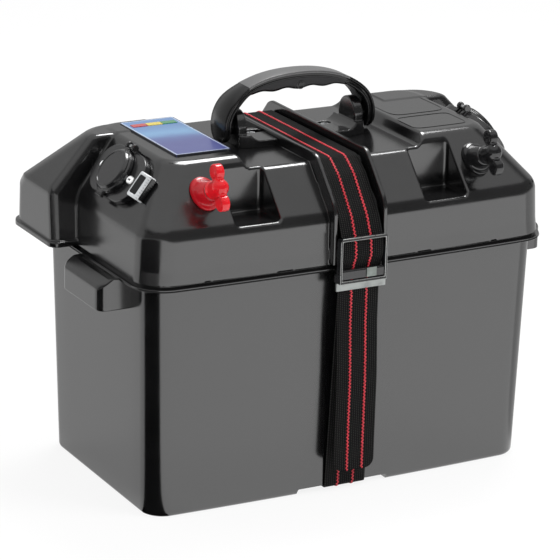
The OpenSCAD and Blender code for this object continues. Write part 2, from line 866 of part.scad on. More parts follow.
module handle_pins() {
    color("silver") both_ends() rod_x(pin_r, cheek_x0 + 0.5, arm_x1 - 3, 0, pivot_z, fn_round);
}

// Screws that hold the handle blocks down, sunk in slotted pockets
screw_x = (rib_x1 + cheek_x0) / 2 - 2;
screw_y = 9;
screw_r = 4;

module screw_pocket() {
    top = centre_z + block_h;
    deep = 3.5;
    translate([screw_x, screw_y, top - deep]) hull() {
        cylinder(r = screw_r + 0.5, h = deep + 1, $fn = fn_small);
        translate([-6, 0, 0]) cylinder(r = screw_r + 0.5, h = deep + 1, $fn = fn_small);
    }
    screw_bore();
}

module screw_bore() {
    translate([screw_x, screw_y, centre_z - 2 * wall]) cylinder(r = 2 + run, h = 4 * wall, $fn = fn_small);
}

module block_screws() {
    seat = centre_z + block_h - 3.5;
    color("silver") both_ends() translate([screw_x, screw_y, 0]) {
        difference() {
            translate([0, 0, seat]) cylinder(r = screw_r, h = 2.4, $fn = fn_small);
            translate([-3, -0.5, seat + 1.6]) cube([6, 1, 2]);
            translate([-0.5, -3, seat + 1.6]) cube([1, 6, 2]);
        }
        translate([0, 0, centre_z - wall - 4]) cylinder(r = 2, h = seat - centre_z + wall + 4, $fn = fn_small);
    }
}

// ---- terminals ----

// Frame of a terminal: its axis is local Z, leaving the front slope
module at_terminal(side) {
    translate([side * term_x, -slope_y(term_z) - 0.6, term_z]) rotate([90 - term_tilt, 0, 0]) children();
}

flange_l = 28.5;
flange_w = 20;
cone_h = 16;
washer_t = 2;
washer_z = cone_h + 0.2;
knob_z0 = washer_z + washer_t;
stud_out = wing_out + 3;
bore_out = stud_out + 1;
slope_tilt = slope_a + term_tilt - 90;

module terminal_base(c) {
    color(c) difference() {
        union() {
            intersection() {
                hull() {
                    for (s = [-1, 1]) translate([0, s * (flange_l - flange_w) / 2, -10])
                        cylinder(r = flange_w / 2, h = 14, $fn = fn_small);
                }
                rotate([slope_tilt, 0, 0]) translate([-30, -30, 0.2]) cube([60, 60, 3.4]);
            }
            intersection() {
                translate([0, 0, -8]) cylinder(r1 = 14, r2 = 7.5, h = 8 + cone_h, $fn = fn_small * 2);
                rotate([slope_tilt, 0, 0]) translate([-30, -30, 0.2]) cube([60, 60, 60]);
            }
        }
        translate([0, 0, -20]) cylinder(r = stud_r + run, h = 60, $fn = fn_round);
    }
}

module terminal_bore() {
    at_terminal(1) translate([0, 0, -12]) cylinder(r = stud_r + 0.3, h = 20, $fn = fn_round);
}

stud_in = -26;
nut_z = -19;

module terminal_stud() {
    color("#c9a24a") translate([0, 0, stud_in]) cylinder(r = stud_r, h = stud_out - stud_in, $fn = fn_round);
}

// Hexagon nut inside the lid, under a thick moulded washer
module stud_nut() {
    across = 13;
    color("#c9a24a") difference() {
        translate([0, 0, nut_z]) cylinder(r = across / sqrt(3), h = 6.5, $fn = 6);
        translate([0, 0, nut_z - 1]) cylinder(r = stud_r + run, h = 10, $fn = fn_round);
    }
}

module terminal_washer() {
    color("silver") difference() {
        translate([0, 0, washer_z]) cylinder(r = 7.2, h = washer_t, $fn = fn_round);
        translate([0, 0, washer_z - 1]) cylinder(r = stud_r + 0.1, h = washer_t + 2, $fn = fn_round);
    }
}

// Wing knob: flared foot, hub and two round ears
module wing_knob(c) {
    top = wing_out + hub_r;
    ear_t = 7.5;
    color(c) difference() {
        union() {
            translate([0, 0, knob_z0 + run]) cylinder(r1 = 8, r2 = hub_r, h = 3, $fn = fn_round);
            translate([0, 0, knob_z0 + 3]) cylinder(r = hub_r, h = wing_out - knob_z0 - 1, $fn = fn_round);
            translate([0, 0, wing_out]) sphere(r = hub_r, $fn = fn_round);
            for (s = [-1, 1]) translate([0, s * ear_out, wing_out]) rotate([0, 90, 0])
                cylinder(r = ear_r, h = ear_t, center = true, $fn = fn_small);
            translate([-ear_t / 2, -ear_out, wing_out - 4]) cube([ear_t, 2 * ear_out, 7]);
        }
        translate([0, 0, knob_z0 - 1]) cylinder(r = stud_r + run, h = bore_out + 1 - knob_z0, $fn = fn_round);
    }
}

module red_terminal_base() { at_terminal(-1) terminal_base("#c8202a"); }
module black_terminal_base() { at_terminal(1) terminal_base("#222224"); }
module red_stud() { at_terminal(-1) terminal_stud(); }
module black_stud() { at_terminal(1) terminal_stud(); }
module red_stud_nut() { at_terminal(-1) stud_nut(); }
module black_stud_nut() { at_terminal(1) stud_nut(); }
module red_washer() { at_terminal(-1) terminal_washer(); }
module black_washer() { at_terminal(1) terminal_washer(); }
module red_wing_knob() { at_terminal(-1) wing_knob("#d4202c"); }
module black_wing_knob() { at_terminal(1) wing_knob("#1c1c1e"); }

// ---- sockets ----

// Frame of a socket: local Z leaves the end slope, local Y runs to the back
module at_socket(side) {
    mirror([side < 0 ? 1 : 0, 0, 0]) translate([slope_x(socket_z), socket_y, socket_z])
        rotate([0, end_a, 0]) children();
}

tube_wall = 3;
tube_r = socket_r + tube_wall;
seat_gap = 0.2;
hinge_x = -plate_w / 2 - 2;
hinge_z = plate_t + 1.5;
cap_z0 = plate_t + 0.3;
hinge_pin_r = 1.6;

module stadium(l, w, h) {
    translate([-w / 2, -(l - w) / 2, 0]) cube([w, l - w, h]);
    for (s = [-1, 1]) translate([0, s * (l - w) / 2, 0]) cylinder(r = w / 2, h = h, $fn = fn_round * 2);
}

ear_w = 3;
knuckle_w = 6;
knuckle_gap = 0.4;

// Rod along the cap's hinge line, of half length half
module hinge_rod(r, half) {
    translate([hinge_x, half, hinge_z]) rotate([90, 0, 0]) cylinder(r = r, h = 2 * half, $fn = fn_small);
}

// Plate that carries the socket, with two ears for the cap's hinge
module socket_plate() {
    ears = knuckle_w / 2 + knuckle_gap + ear_w;
    color("#303033") difference() {
        union() {
            stadium(plate_l, plate_w, plate_t);
            hinge_rod(3, ears);
            translate([hinge_x - 1, -ears, plate_t - 5]) cube([4, 2 * ears, hinge_z - plate_t + 5]);
        }
        hinge_rod(3.3, knuckle_w / 2 + knuckle_gap);
        translate([hinge_x - 5, -knuckle_w / 2 - knuckle_gap, plate_t])
            cube([10, knuckle_w + 2 * knuckle_gap, 10]);
        hinge_rod(hinge_pin_r + run, knuckle_w * 2);
        translate([0, 0, -1]) cylinder(r = tube_r + run, h = plate_t + 2, $fn = fn_round);
        for (s = [-1, 1]) translate([0, s * rivet_out, -1]) cylinder(r = 2 + run, h = plate_t + 2, $fn = fn_small);
        translate([0, 0, -1]) difference() {
            stadium(plate_l - 2 * wall, plate_w - 2 * wall, plate_t - wall + 1);
            cylinder(r = tube_r + wall, h = plate_t, $fn = fn_round);
            for (s = [-1, 1]) translate([0, s * rivet_out, 0]) cylinder(r = 4.5, h = plate_t, $fn = fn_small);
        }
    }
}

module socket_bore() {
    at_socket(1) translate([0, 0, -12]) cylinder(r = tube_r + 0.3, h = 14, $fn = fn_round);
}

module rivet_bores() {
    at_socket(1) for (s = [-1, 1]) translate([0, s * rivet_out, -8]) cylinder(r = 2 + run, h = 10, $fn = fn_small);
}

flange_t = 1.6;

module socket_tube() {
    color("#b9bcc0") difference() {
        union() {
            translate([0, 0, plate_t]) cylinder(r = tube_r + 2.2, h = flange_t, $fn = fn_round);
            translate([0, 0, plate_t + flange_t - socket_deep]) cylinder(r = tube_r, h = socket_deep, $fn = fn_round);
        }
        translate([0, 0, plate_t + flange_t - socket_deep - 1]) cylinder(r = socket_r, h = socket_deep + 2, $fn = fn_round);
    }
}

module socket_nut() {
    nut_t = 6;
    color("#303033") translate([0, 0, -wall - nut_t - 0.6]) difference() {
        cylinder(r = tube_r + 4, h = nut_t, $fn = fn_round);
        translate([0, 0, -1]) cylinder(r = tube_r + run, h = nut_t + 2, $fn = fn_round);
        for (a = [0:30:330]) rotate([0, 0, a]) translate([tube_r + 4.2, 0, -1]) cylinder(r = 1, h = nut_t + 2, $fn = 12);
    }
}

// Insulating plug at the bottom, with the centre contact and two tabs
module socket_contact() {
    low = plate_t + flange_t - socket_deep;
    color("#c9a24a") {
        translate([0, 0, low]) cylinder(r = socket_r - run, h = 5, $fn = fn_round);
        translate([0, 0, low + 5]) cylinder(r = 3.5, h = 4, $fn = fn_small);
        for (s = [-1, 1]) translate([s * 5 - 3.15, -0.4, low - 9]) cube([6.3, 0.8, 9]);
    }
}

// Hinged cap: domed disc with a plug, a knuckle above and a pull tab below
module socket_cap() {
    skirt = 3;
    plug_r = socket_r - 0.5;
    color("#2d2d30") {
        difference() {
            union() {
                translate([0, 0, cap_z0]) cylinder(r = cap_r, h = cap_t * 0.45, $fn = fn_round * 2);
                translate([0, 0, cap_z0 + cap_t * 0.45])
                    cylinder(r1 = cap_r, r2 = cap_r - 3.5, h = cap_t * 0.55, $fn = fn_round * 2);
                translate([cap_r - 5, -5, cap_z0]) cube([9, 10, 3]);
                hinge_rod(2.8, knuckle_w / 2);
                translate([hinge_x + 1, -knuckle_w / 2, cap_z0 + 0.4]) cube([6, knuckle_w, 2.4]);
            }
            hinge_rod(hinge_pin_r + run, knuckle_w);
            translate([0, 0, cap_z0 - 1]) cylinder(r = cap_r - skirt, h = 1.2 + flange_t, $fn = fn_round);
        }
        translate([0, 0, plate_t + flange_t - 4]) cylinder(r = plug_r, h = 6, $fn = fn_round);
    }
}

module hinge_pin() {
    color("silver") hinge_rod(hinge_pin_r, knuckle_w / 2 + knuckle_gap + ear_w);
}

module rivets() {
    color("white") for (s = [-1, 1]) translate([0, s * rivet_out, 0]) {
        translate([0, 0, plate_t]) difference() {
            cylinder(r = 3.5, h = 1.2, $fn = fn_small);
            translate([0, 0, 0.5]) cylinder(r = 1.3, h = 1, $fn = fn_small);
        }
        translate([0, 0, -wall - 3.5]) cylinder(r = 2, h = plate_t + wall + 3.5, $fn = fn_small);
    }
}

module left_socket_plate() { at_socket(-1) socket_plate(); }
module right_socket_plate() { at_socket(1) socket_plate(); }
module left_socket_tube() { at_socket(-1) socket_tube(); }
module right_socket_tube() { at_socket(1) socket_tube(); }
module left_socket_nut() { at_socket(-1) socket_nut(); }
module right_socket_nut() { at_socket(1) socket_nut(); }
module left_socket_contact() { at_socket(-1) socket_contact(); }
module right_socket_contact() { at_socket(1) socket_contact(); }
module left_socket_cap() { at_socket(-1) socket_cap(); }
module right_socket_cap() { at_socket(1) socket_cap(); }
module left_hinge_pin() { at_socket(-1) hinge_pin(); }
module right_hinge_pin() { at_socket(1) hinge_pin(); }
module left_rivets() { at_socket(-1) rivets(); }
module right_rivets() { at_socket(1) rivets(); }

// ---- breaker, beside the front end of the left socket plate ----

breaker_back = -plate_l / 2 - 0.3;
breaker_front = breaker_back - breaker_d;
reset_d = 4;
stem_r = 1.4;
stem_z = seat_gap + 0.4 + reset_h / 2;

// Prism along the slope from a polygon of [y, height] points
module down_slope(pts, l) {
    translate([-l / 2, 0, 0]) rotate([90, 0, 90]) linear_extrude(l) polygon(pts);
}

// Housing with a sloping face, and a slot at its foot for the reset bar
module breaker_housing() {
    slot_h = reset_h + 0.8;
    deep = reset_d + reset_travel;
    color("#c6c9cc") at_socket(-1) difference() {
        down_slope([
            [breaker_back, seat_gap],
            [breaker_back, breaker_h],
            [breaker_back - 2, breaker_h],
            [breaker_front, slot_h + seat_gap + 0.8],
            [breaker_front, seat_gap]], breaker_l);
        translate([-breaker_l / 2 + 1.2, breaker_front - 1, seat_gap - 1]) cube([breaker_l - 2.4, deep + 1, slot_h + 1]);
        translate([0, breaker_back - 1.5, stem_z]) rotate([90, 0, 0]) cylinder(r = stem_r + run, h = breaker_d, $fn = fn_small);
    }
}

// Ribbed bar that springs out of the housing and is pushed back in
module reset_bar() {
    ribs = 9;
    l = breaker_l - 3;
    low = seat_gap + 0.4;
    back = breaker_front + reset_d;
    pitch = l / ribs;
    color("#1c1c1e") at_socket(-1) {
        translate([-l / 2, breaker_front + 0.8, low]) cube([l, reset_d - 0.8, reset_h]);
        for (i = [0:ribs - 1]) translate([-l / 2 + (i + 0.25) * pitch, breaker_front - 0.2, low])
            cube([pitch / 2, 1.2, reset_h]);
        translate([0, back + 3, stem_z]) rotate([90, 0, 0]) cylinder(r = stem_r, h = 4, $fn = fn_small);
    }
}

// ---- meter ----

meter_x = -107.5;
meter_y = 4;
lens_y = 42;
lens_gap = 0.4;
lens_top = 0.5;
board_z = centre_z - wall;
board_t = 1.6;

module lens_cut() {
    for (k = [-1:1]) translate([meter_x + k * (lens_l + lens_gap) - lens_l / 2 - 0.1, lens_y - lens_w / 2 - 0.1, centre_z])
        cube([lens_l + 0.2, lens_w + 0.2, 2 * deck_step]);
}

module meter_panel() {
    r = 3;
    color("#4a5fa8") difference() {
        translate([meter_x, meter_y, deck_z]) linear_extrude(meter_t) {
            square([meter_w, meter_l - 2 * r], center = true);
            square([meter_w - 2 * r, meter_l], center = true);
            for (sx = [-1, 1], sy = [-1, 1]) translate([sx * (meter_w / 2 - r), sy * (meter_l / 2 - r)])
                circle(r, $fn = fn_small);
        }
        lens_cut();
    }
}

module lens(k) {
    translate([meter_x + k * (lens_l + lens_gap) - lens_l / 2, lens_y - lens_w / 2, board_z + board_t])
        cube([lens_l, lens_w, deck_z + meter_t + lens_top - board_z - board_t]);
}

module red_lens() { color("#d03a30") lens(-1); }
module amber_lens() { color("#e8cf3a") lens(0); }
module green_lens() { color("#3f9a4a") lens(1); }

board_l = 50;
board_w = 44;
board_y = lens_y - 14;
post_dx = board_w / 2 - 4;
post_dy = board_l / 2 - 4;

module at_posts() {
    for (sx = [-1, 1], sy = [-1, 1]) translate([meter_x + sx * post_dx, board_y + sy * post_dy, 0]) children();
}

module board_posts() {
    at_posts() difference() {
        translate([0, 0, board_z + board_t]) cylinder(r = 3, h = deck_z - wall / 2 - board_z - board_t, $fn = fn_small);
        translate([0, 0, board_z]) cylinder(r = 1 + run, h = 7, $fn = fn_small);
    }
}

module meter_board() {
    color("#2f6b3a") difference() {
        translate([meter_x - board_w / 2, board_y - board_l / 2, board_z]) cube([board_w, board_l, board_t]);
        at_posts() translate([0, 0, board_z - 1]) cylinder(r = 1.2, h = board_t + 2, $fn = fn_small);
    }
}

module board_screws() {
    color("silver") at_posts() {
        translate([0, 0, board_z - 1.5]) cylinder(r = 2.4, h = 1.5, $fn = fn_small);
        translate([0, 0, board_z - 0.5]) cylinder(r = 1, h = 6, $fn = fn_small);
    }
}

base_tub();
lid_shell();
strap_lower();
strap_upper();
strap_tail();
buckle_frame();
buckle_lip();
cam_pin();
cam();
cam_plate();
handle_frame();
handle_grip();
handle_pins();
left_handle_block();
right_handle_block();
block_screws();
red_terminal_base();
red_stud();
red_stud_nut();
red_washer();
red_wing_knob();
black_terminal_base();
black_stud();
black_stud_nut();
black_washer();
black_wing_knob();
left_socket_plate();
left_socket_tube();
left_socket_nut();
left_socket_contact();
left_socket_cap();
left_hinge_pin();
left_rivets();
right_socket_plate();
right_socket_tube();
right_socket_nut();
right_socket_contact();
right_socket_cap();
right_hinge_pin();
right_rivets();
breaker_housing();
reset_bar();
meter_panel();
red_lens();
amber_lens();
green_lens();
meter_board();
board_screws();
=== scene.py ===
"""Looks of a portable battery box: tub, lift-off lid, folding handle, strap, terminals, sockets and meter.

Lengths are millimetres in the model's own frame, X along the long front face, Y to the back and Z up.
They become metres when a mesh is made. Every shape is worked out with numpy, either as a grid of two
parameters or as a field: a function of place that is below 0 inside the piece.
"""

import json
import logging
import math
from dataclasses import dataclass
from enum import Enum
from typing import Callable, Sequence

import bmesh
import bpy
import numpy as np
from mathutils import Matrix, Vector

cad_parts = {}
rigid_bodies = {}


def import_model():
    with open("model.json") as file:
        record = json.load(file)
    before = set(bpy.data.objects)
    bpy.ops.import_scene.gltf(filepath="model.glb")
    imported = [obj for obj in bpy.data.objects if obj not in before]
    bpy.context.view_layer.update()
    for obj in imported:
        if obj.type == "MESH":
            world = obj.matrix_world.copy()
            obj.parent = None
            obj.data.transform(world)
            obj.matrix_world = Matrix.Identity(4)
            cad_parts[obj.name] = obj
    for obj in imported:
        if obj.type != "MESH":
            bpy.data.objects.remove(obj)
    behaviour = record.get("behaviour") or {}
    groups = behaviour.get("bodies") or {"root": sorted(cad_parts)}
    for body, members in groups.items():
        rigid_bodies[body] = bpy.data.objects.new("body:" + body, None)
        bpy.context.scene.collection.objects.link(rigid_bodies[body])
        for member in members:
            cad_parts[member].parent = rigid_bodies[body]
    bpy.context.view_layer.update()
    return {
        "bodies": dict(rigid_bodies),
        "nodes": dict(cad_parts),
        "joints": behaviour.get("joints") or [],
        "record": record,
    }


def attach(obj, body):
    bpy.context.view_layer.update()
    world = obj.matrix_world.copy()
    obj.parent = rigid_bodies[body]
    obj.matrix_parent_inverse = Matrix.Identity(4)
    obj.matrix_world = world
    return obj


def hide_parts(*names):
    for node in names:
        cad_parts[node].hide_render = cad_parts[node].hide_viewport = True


log = logging.getLogger("battery_box")
Array = np.ndarray
Place = Callable[[Array], Array]
Field = Callable[[Array, Array, Array], Array]
MM = 0.001
PER_METRE = 1000.0
FULL_TURN = 2 * math.pi


class Side(Enum):
    """Half of the part that a piece belongs to; the value is the sign of its X."""

    LEFT = -1
    RIGHT = 1

    @property
    def word(self) -> str:
        """The side as pieces and nodes name it."""
        return self.name.lower()


# ---- shader maths ----


class Value:
    """A number that varies over a surface: one socket, with the usual operators."""

    def __init__(self, tree: "Tree", socket: bpy.types.NodeSocket) -> None:
        """Keeps the tree and the socket that gives the number."""
        self.tree = tree
        self.socket = socket

    def maths(self, operation: str, *others: "Value | float", swap: bool = False) -> "Value":
        """One Math node.

        Args:
            operation: the node's operation.
            others: the other operands, values or plain numbers.
            swap: whether this value comes second.

        Returns:
            The node's result.
        """
        operands = [self, *others]
        if swap:
            operands.reverse()
        return self.tree.maths(operation, *operands)

    def __add__(self, other: "Value | float") -> "Value":
        """Sum."""
        return self.maths("ADD", other)

    __radd__ = __add__

    def __sub__(self, other: "Value | float") -> "Value":
        """Difference."""
        return self.maths("SUBTRACT", other)

    def __rsub__(self, other: "Value | float") -> "Value":
        """Difference with this value second."""
        return self.maths("SUBTRACT", other, swap=True)

    def __mul__(self, other: "Value | float") -> "Value":
        """Product."""
        return self.maths("MULTIPLY", other)

    __rmul__ = __mul__

    def __abs__(self) -> "Value":
        """Size without its sign."""
        return self.maths("ABSOLUTE")

    def sine(self) -> "Value":
        """Sine of an angle in radians."""
        return self.maths("SINE")

    def steps(self, low: float, high: float) -> "Value":
        """Smooth rise from 0 at low to 1 at high; it falls if high is the smaller."""
        node = self.tree.node(
            "ShaderNodeMapRange",
            {"interpolation_type": "SMOOTHSTEP"},
            {0: self, 1: min(low, high), 2: max(low, high), 3: float(high < low), 4: float(low < high)},
        )
        return Value(self.tree, node.outputs[0])


class Tree:
    """The node tree of one material or of the world."""

    def __init__(self, nodes: bpy.types.NodeTree) -> None:
        """Empties the tree."""
        self.tree = nodes
        self.tree.nodes.clear()

    def feed(self, target: bpy.types.NodeSocket, source: object) -> None:
        """Links a value or a socket into an input, or sets the input to a number or tuple."""
        source = source.socket if isinstance(source, Value) else source
        if isinstance(source, bpy.types.NodeSocket):
            self.tree.links.new(source, target)
        else:
            target.default_value = source

    def node(self, kind: str, settings: dict | None = None, sockets: dict | None = None) -> bpy.types.Node:
        """Adds one node.

        Args:
            kind: the node's type.
            settings: properties that are set first, such as an operation.
            sockets: what feeds its inputs: values, sockets, numbers or tuples.

        Returns:
            The new node.
        """
        made = self.tree.nodes.new(kind)
        for key, setting in (settings or {}).items():
            setattr(made, key, setting)
        for key, source in (sockets or {}).items():
            self.feed(made.inputs[key], source)
        return made

    def maths(self, operation: str, *operands: Value | float) -> Value:
        """One Math node on values or numbers."""
        node = self.node("ShaderNodeMath", {"operation": operation}, dict(enumerate(operands)))
        return Value(self, node.outputs[0])

    def split(self, where: bpy.types.NodeSocket) -> tuple[Value, ...]:
        """The three parts of a vector."""
        return tuple(Value(self, out) for out in self.node("ShaderNodeSeparateXYZ", sockets={0: where}).outputs)

    def place(self) -> tuple[Value, ...]:
        """X, Y and Z of the surface in the model's frame, in millimetres."""
        where = self.node("ShaderNodeTexCoord").outputs["Object"]
        return tuple(part * PER_METRE for part in self.split(where))

    def cloth(self) -> tuple[Value, Value]:
        """Place across and along webbing, in millimetres, from its own UV map."""
        across, along, _ = self.split(self.node("ShaderNodeUVMap", {"uv_map": "weave"}).outputs[0])
        return across * PER_METRE, along * PER_METRE

    def noise(self, size: float, detail: float = 3.0, stretch: tuple = (1.0, 1.0, 1.0)) -> Value:
        """Noise around 0.5.

        Args:
            size: size of its patches in millimetres.
            detail: octaves of finer noise.
            stretch: how much faster it varies along each axis.

        Returns:
            The noise value.
        """
        where = self.node("ShaderNodeTexCoord").outputs["Object"]
        scaled = self.node("ShaderNodeMapping", sockets={"Vector": where, "Scale": stretch}).outputs[0]
        sockets = {"Vector": scaled, "Scale": PER_METRE / size, "Detail": detail}
        return Value(self, self.node("ShaderNodeTexNoise", sockets=sockets).outputs["Fac"])

    def rays(self, *kinds: str) -> Value:
        """Sum of the light path's flags for these kinds of ray, such as Camera."""
        path = self.node("ShaderNodeLightPath")
        first, *others = (Value(self, path.outputs[f"Is {kind} Ray"]) for kind in kinds)
        return sum(others, first)

    def blend(self, share: Value | float, low: object, high: object) -> bpy.types.NodeSocket:
        """Colour between low, at share 0, and high, at share 1; each is a socket or (r, g, b)."""
        node = self.node("ShaderNodeMix", {"data_type": "RGBA"}, {"Factor": share})
        for target, colour in zip([s for s in node.inputs if s.type == "RGBA"], (low, high)):
            self.feed(target, colour if isinstance(colour, bpy.types.NodeSocket) else (*colour, 1.0))
        return next(s for s in node.outputs if s.type == "RGBA")

    def bump(self, height: Value, depth: float) -> bpy.types.NodeSocket:
        """Normal that a height, whose 1 is depth millimetres, gives the surface."""
        node = self.node("ShaderNodeBump", sockets={"Height": height, "Distance": depth * MM, "Strength": 1.0})
        return node.outputs["Normal"]

    def end(self, kind: str, sockets: dict, output: str = "ShaderNodeOutputMaterial") -> None:
        """Ends the tree in one shader of a kind with these inputs."""
        self.node(output, sockets={"Surface": self.node(kind, sockets=sockets).outputs[0]})


def new_tree(name: str) -> tuple[bpy.types.Material, Tree]:
    """An empty material and its tree."""
    material = bpy.data.materials.new(name)
    material.use_nodes = True
    return material, Tree(material.node_tree)


# ---- finishes ----


@dataclass(frozen=True)
class Finish:
    """Look of a piece: one material, shared by all pieces with this finish."""

    name: str

    def sockets(self, tree: Tree) -> dict:
        """Builds the inputs of the principled shader in a tree."""
        raise NotImplementedError

    def material(self) -> bpy.types.Material:
        """Builds the material once; later pieces share it."""
        known = bpy.data.materials.get(self.name)
        if known:
            return known
        made, tree = new_tree(self.name)
        tree.end("ShaderNodeBsdfPrincipled", self.sockets(tree))
        return made


@dataclass(frozen=True)
class Plastic(Finish):
    """Moulded plastic: a gloss that varies a little, a faint orange-peel skin and pale dust on it."""

    colour: tuple
    roughness: float = 0.2
    ior: float = 1.5
    coat: float = 0.0
    grain: float = 0.004
    grain_size: float = 3.0
    mottle: float = 0.3
    cloud: float = 45.0

    def sockets(self, tree: Tree) -> dict:
        """Colour and roughness drift with wide patches of noise; the skin is finer noise."""
        cloud = tree.noise(self.cloud, 4.0)
        skin = tree.noise(self.grain_size, 2.0)
        lighter = tuple(min(1.0, c * (1 + self.mottle) + 0.001) for c in self.colour)
        return {
            "Base Color": tree.blend(cloud.steps(0.35, 0.7), self.colour, lighter),
            "Roughness": cloud.steps(0.3, 0.75) * 0.05 + (self.roughness - 0.025),
            "IOR": self.ior,
            "Coat Weight": self.coat,
            "Coat Roughness": self.roughness * 0.6,
            "Normal": tree.bump(skin, self.grain),
        }


@dataclass(frozen=True)
class Metal(Finish):
    """Bright metal with fine brushing and a few duller patches."""

    colour: tuple
    roughness: float = 0.25
    brushed: tuple = (1.0, 12.0, 1.0)
    dull: float = 0.72

    def sockets(self, tree: Tree) -> dict:
        """Brushing is noise squeezed along Y; it drives roughness and bump."""
        lines = tree.noise(2.0, 2.0, self.brushed)
        patch = tree.noise(9.0)
        darker = tuple(self.dull * c for c in self.colour)
        return {
            "Base Color": tree.blend(patch.steps(0.4, 0.7), self.colour, darker),
            "Metallic": 1.0,
            "Roughness": lines * 0.16 + (self.roughness - 0.08),
            "Normal": tree.bump(lines, 0.004),
        }


@dataclass(frozen=True)
class WornPaint(Finish):
    """Black painted steel frame with painted highlights: thin bright metal lines along both edges of its front face.
    """

    front_y: float
    middle_z: float
    half_x: float
    half_z: float
    rail: float
    bar: float
    paint: tuple = (0.006, 0.006, 0.007)
    steel: tuple = (0.5, 0.51, 0.5)

    def sockets(self, tree: Tree) -> dict:
        """Paint that gives way to bright metal, a painted highlight, beside the outer edge and the window of the front
        face.
        """
        x, y, z = tree.place()
        side, end = abs(x) - self.half_x, abs(z - self.middle_z) - self.half_z
        outer = side.maths("MAXIMUM", end)
        window = (side + self.rail).maths("MAXIMUM", end + self.bar)
        speck_noise = tree.noise(1.5)
        # Painted highlight: bright metal in thin lines beside both edges of the front face only.
        lines = (outer + speck_noise * 0.2).steps(-0.35, -0.2).maths("MAXIMUM", (window - speck_noise * 0.2).steps(0.5, 0.3))
        painted_highlight = lines * y.steps(self.front_y + 0.5, self.front_y + 0.35) * 0.8
        return {
            "Base Color": tree.blend(painted_highlight, self.paint, self.steel),
            "Metallic": painted_highlight,
            "Roughness": speck_noise * 0.15 + 0.22,
            "Normal": tree.bump(speck_noise, 0.006),
        }


@dataclass(frozen=True)
class Webbing(Finish):
    """Woven black webbing: cords along it, picks across it and paler specks of thread."""

    cord: float = 1.9
    pick: float = 1.5
    dark: tuple = (0.0025, 0.0025, 0.0027)
    pale: tuple = (0.045, 0.045, 0.043)

    def sockets(self, tree: Tree) -> dict:
        """Builds the weave from the piece's own UV map, in millimetres across and along."""
        across, along = tree.cloth()
        warp = (across * (FULL_TURN / self.cord)).sine()
        shift = warp.steps(-0.2, 0.2) * math.pi
        weft = (along * (FULL_TURN / self.pick) + shift).sine()
        height = warp * 0.35 + weft * 0.35 + tree.noise(0.9, 2.0) * 0.5
        fleck = height.steps(0.42, 0.95)
        return {
            "Base Color": tree.blend(fleck, self.dark, self.pale),
            "Roughness": 0.7 + fleck * 0.2,
            "Specular IOR Level": 0.1,
            "Normal": tree.bump(height, 0.35),
        }


@dataclass(frozen=True)
class Thread(Finish):
    """Red stitching thread with a twist."""

    dark: tuple = (0.36, 0.006, 0.018)
    pale: tuple = (0.78, 0.07, 0.09)

    def sockets(self, tree: Tree) -> dict:
        """Red thread, paler on its crowns."""
        strand = tree.noise(0.8, 2.0)
        return {
            "Base Color": tree.blend(strand.steps(0.35, 0.7), self.dark, self.pale),
            "Roughness": strand * 0.2 + 0.4,
            "Normal": tree.bump(strand, 0.12),
        }


@dataclass(frozen=True)
class LabelFace(Finish):
    """Plain printed panel, pale blue behind and violet blue in front, with a pale line near its edge."""

    x: float
    y: float
    half_x: float
    half_y: float
    violet: tuple = (0.045, 0.056, 0.2)
    blue: tuple = (0.09, 0.19, 0.38)
    glow: tuple = (0.16, 0.34, 0.52)
    line: tuple = (0.55, 0.62, 0.74)
    edge: tuple = (0.02, 0.022, 0.03)

    def sockets(self, tree: Tree) -> dict:
        """Shades the panel by its place, from front to back and out to its rim."""
        x, y, _ = tree.place()
        depth = (y + tree.noise(30.0) * 14.0).steps(self.y - self.half_y, self.y + self.half_y + 8.0)
        field = tree.blend(depth.steps(0.25, 0.85), self.violet, self.blue)
        field = tree.blend(abs(depth - 0.66).steps(0.22, 0.0) * 0.55, field, self.glow)
        rim = (abs(x - self.x) - self.half_x).maths("MAXIMUM", abs(y - self.y) - self.half_y)
        field = tree.blend(rim.steps(-2.1, -1.8) * rim.steps(-0.9, -1.2) * 0.75, field, self.line)
        return {
            "Base Color": tree.blend(rim.steps(-0.9, -0.5), field, self.edge),
            "Roughness": tree.noise(12.0) * 0.08 + 0.26,
            "Coat Weight": 0.4,
            "Coat Roughness": 0.12,
            "Normal": tree.bump(tree.noise(7.0), 0.004),
        }


@dataclass(frozen=True)
class Lens(Finish):
    """Tinted clear lens over a lamp."""

    colour: tuple
    rib: float = 1.3

    def sockets(self, tree: Tree) -> dict:
        """Deep colour under a clear coat, with fine ribs along X."""
        ribs = (tree.place()[0] * (FULL_TURN / self.rib)).sine()
        darker = tuple(0.6 * c for c in self.colour)
        return {
            "Base Color": tree.blend(ribs.steps(-0.6, 0.9), darker, self.colour),
            "Roughness": tree.noise(5.0) * 0.06 + 0.14,
            "Coat Weight": 0.6,
            "Coat Roughness": 0.05,
            "Normal": tree.bump(ribs, 0.05),
        }


BOX_PLASTIC = Plastic("box_black", (0.003, 0.003, 0.0032), 0.19, ior=1.98)
HANDLE_PLASTIC = Plastic("handle_black", (0.003, 0.003, 0.0032), 0.23, ior=1.56)
GRIP_PLASTIC = Plastic("grip_grey", (0.008, 0.008, 0.009), 0.42, ior=1.5, grain=0.03, grain_size=0.8)
GRIP_CROWN = Plastic("grip_crown_grey", (0.07, 0.07, 0.071), 0.34, ior=1.9, grain=0.01, grain_size=1.0)
SOCKET_PLASTIC = Plastic("socket_black", (0.006, 0.006, 0.0065), 0.2, ior=1.9)
KNOB_PLASTIC = Plastic("knob_black", (0.006, 0.006, 0.0065), 0.16, ior=1.7)
RED_PLASTIC = Plastic("terminal_red", (0.48, 0.004, 0.009), 0.17, ior=1.52, coat=0.3, grain=0.006)
# Painted shade: a darker copy of the knob's red for the red terminal's base, which stands in shade under the knob.
RED_SHADED_BASE = Plastic("terminal_red_base", (0.33, 0.004, 0.009), 0.2, ior=1.5, coat=0.2, grain=0.006)
SMOKED_PLASTIC = Plastic("breaker_window_dark", (0.012, 0.012, 0.013), 0.1, ior=1.55, coat=0.5)
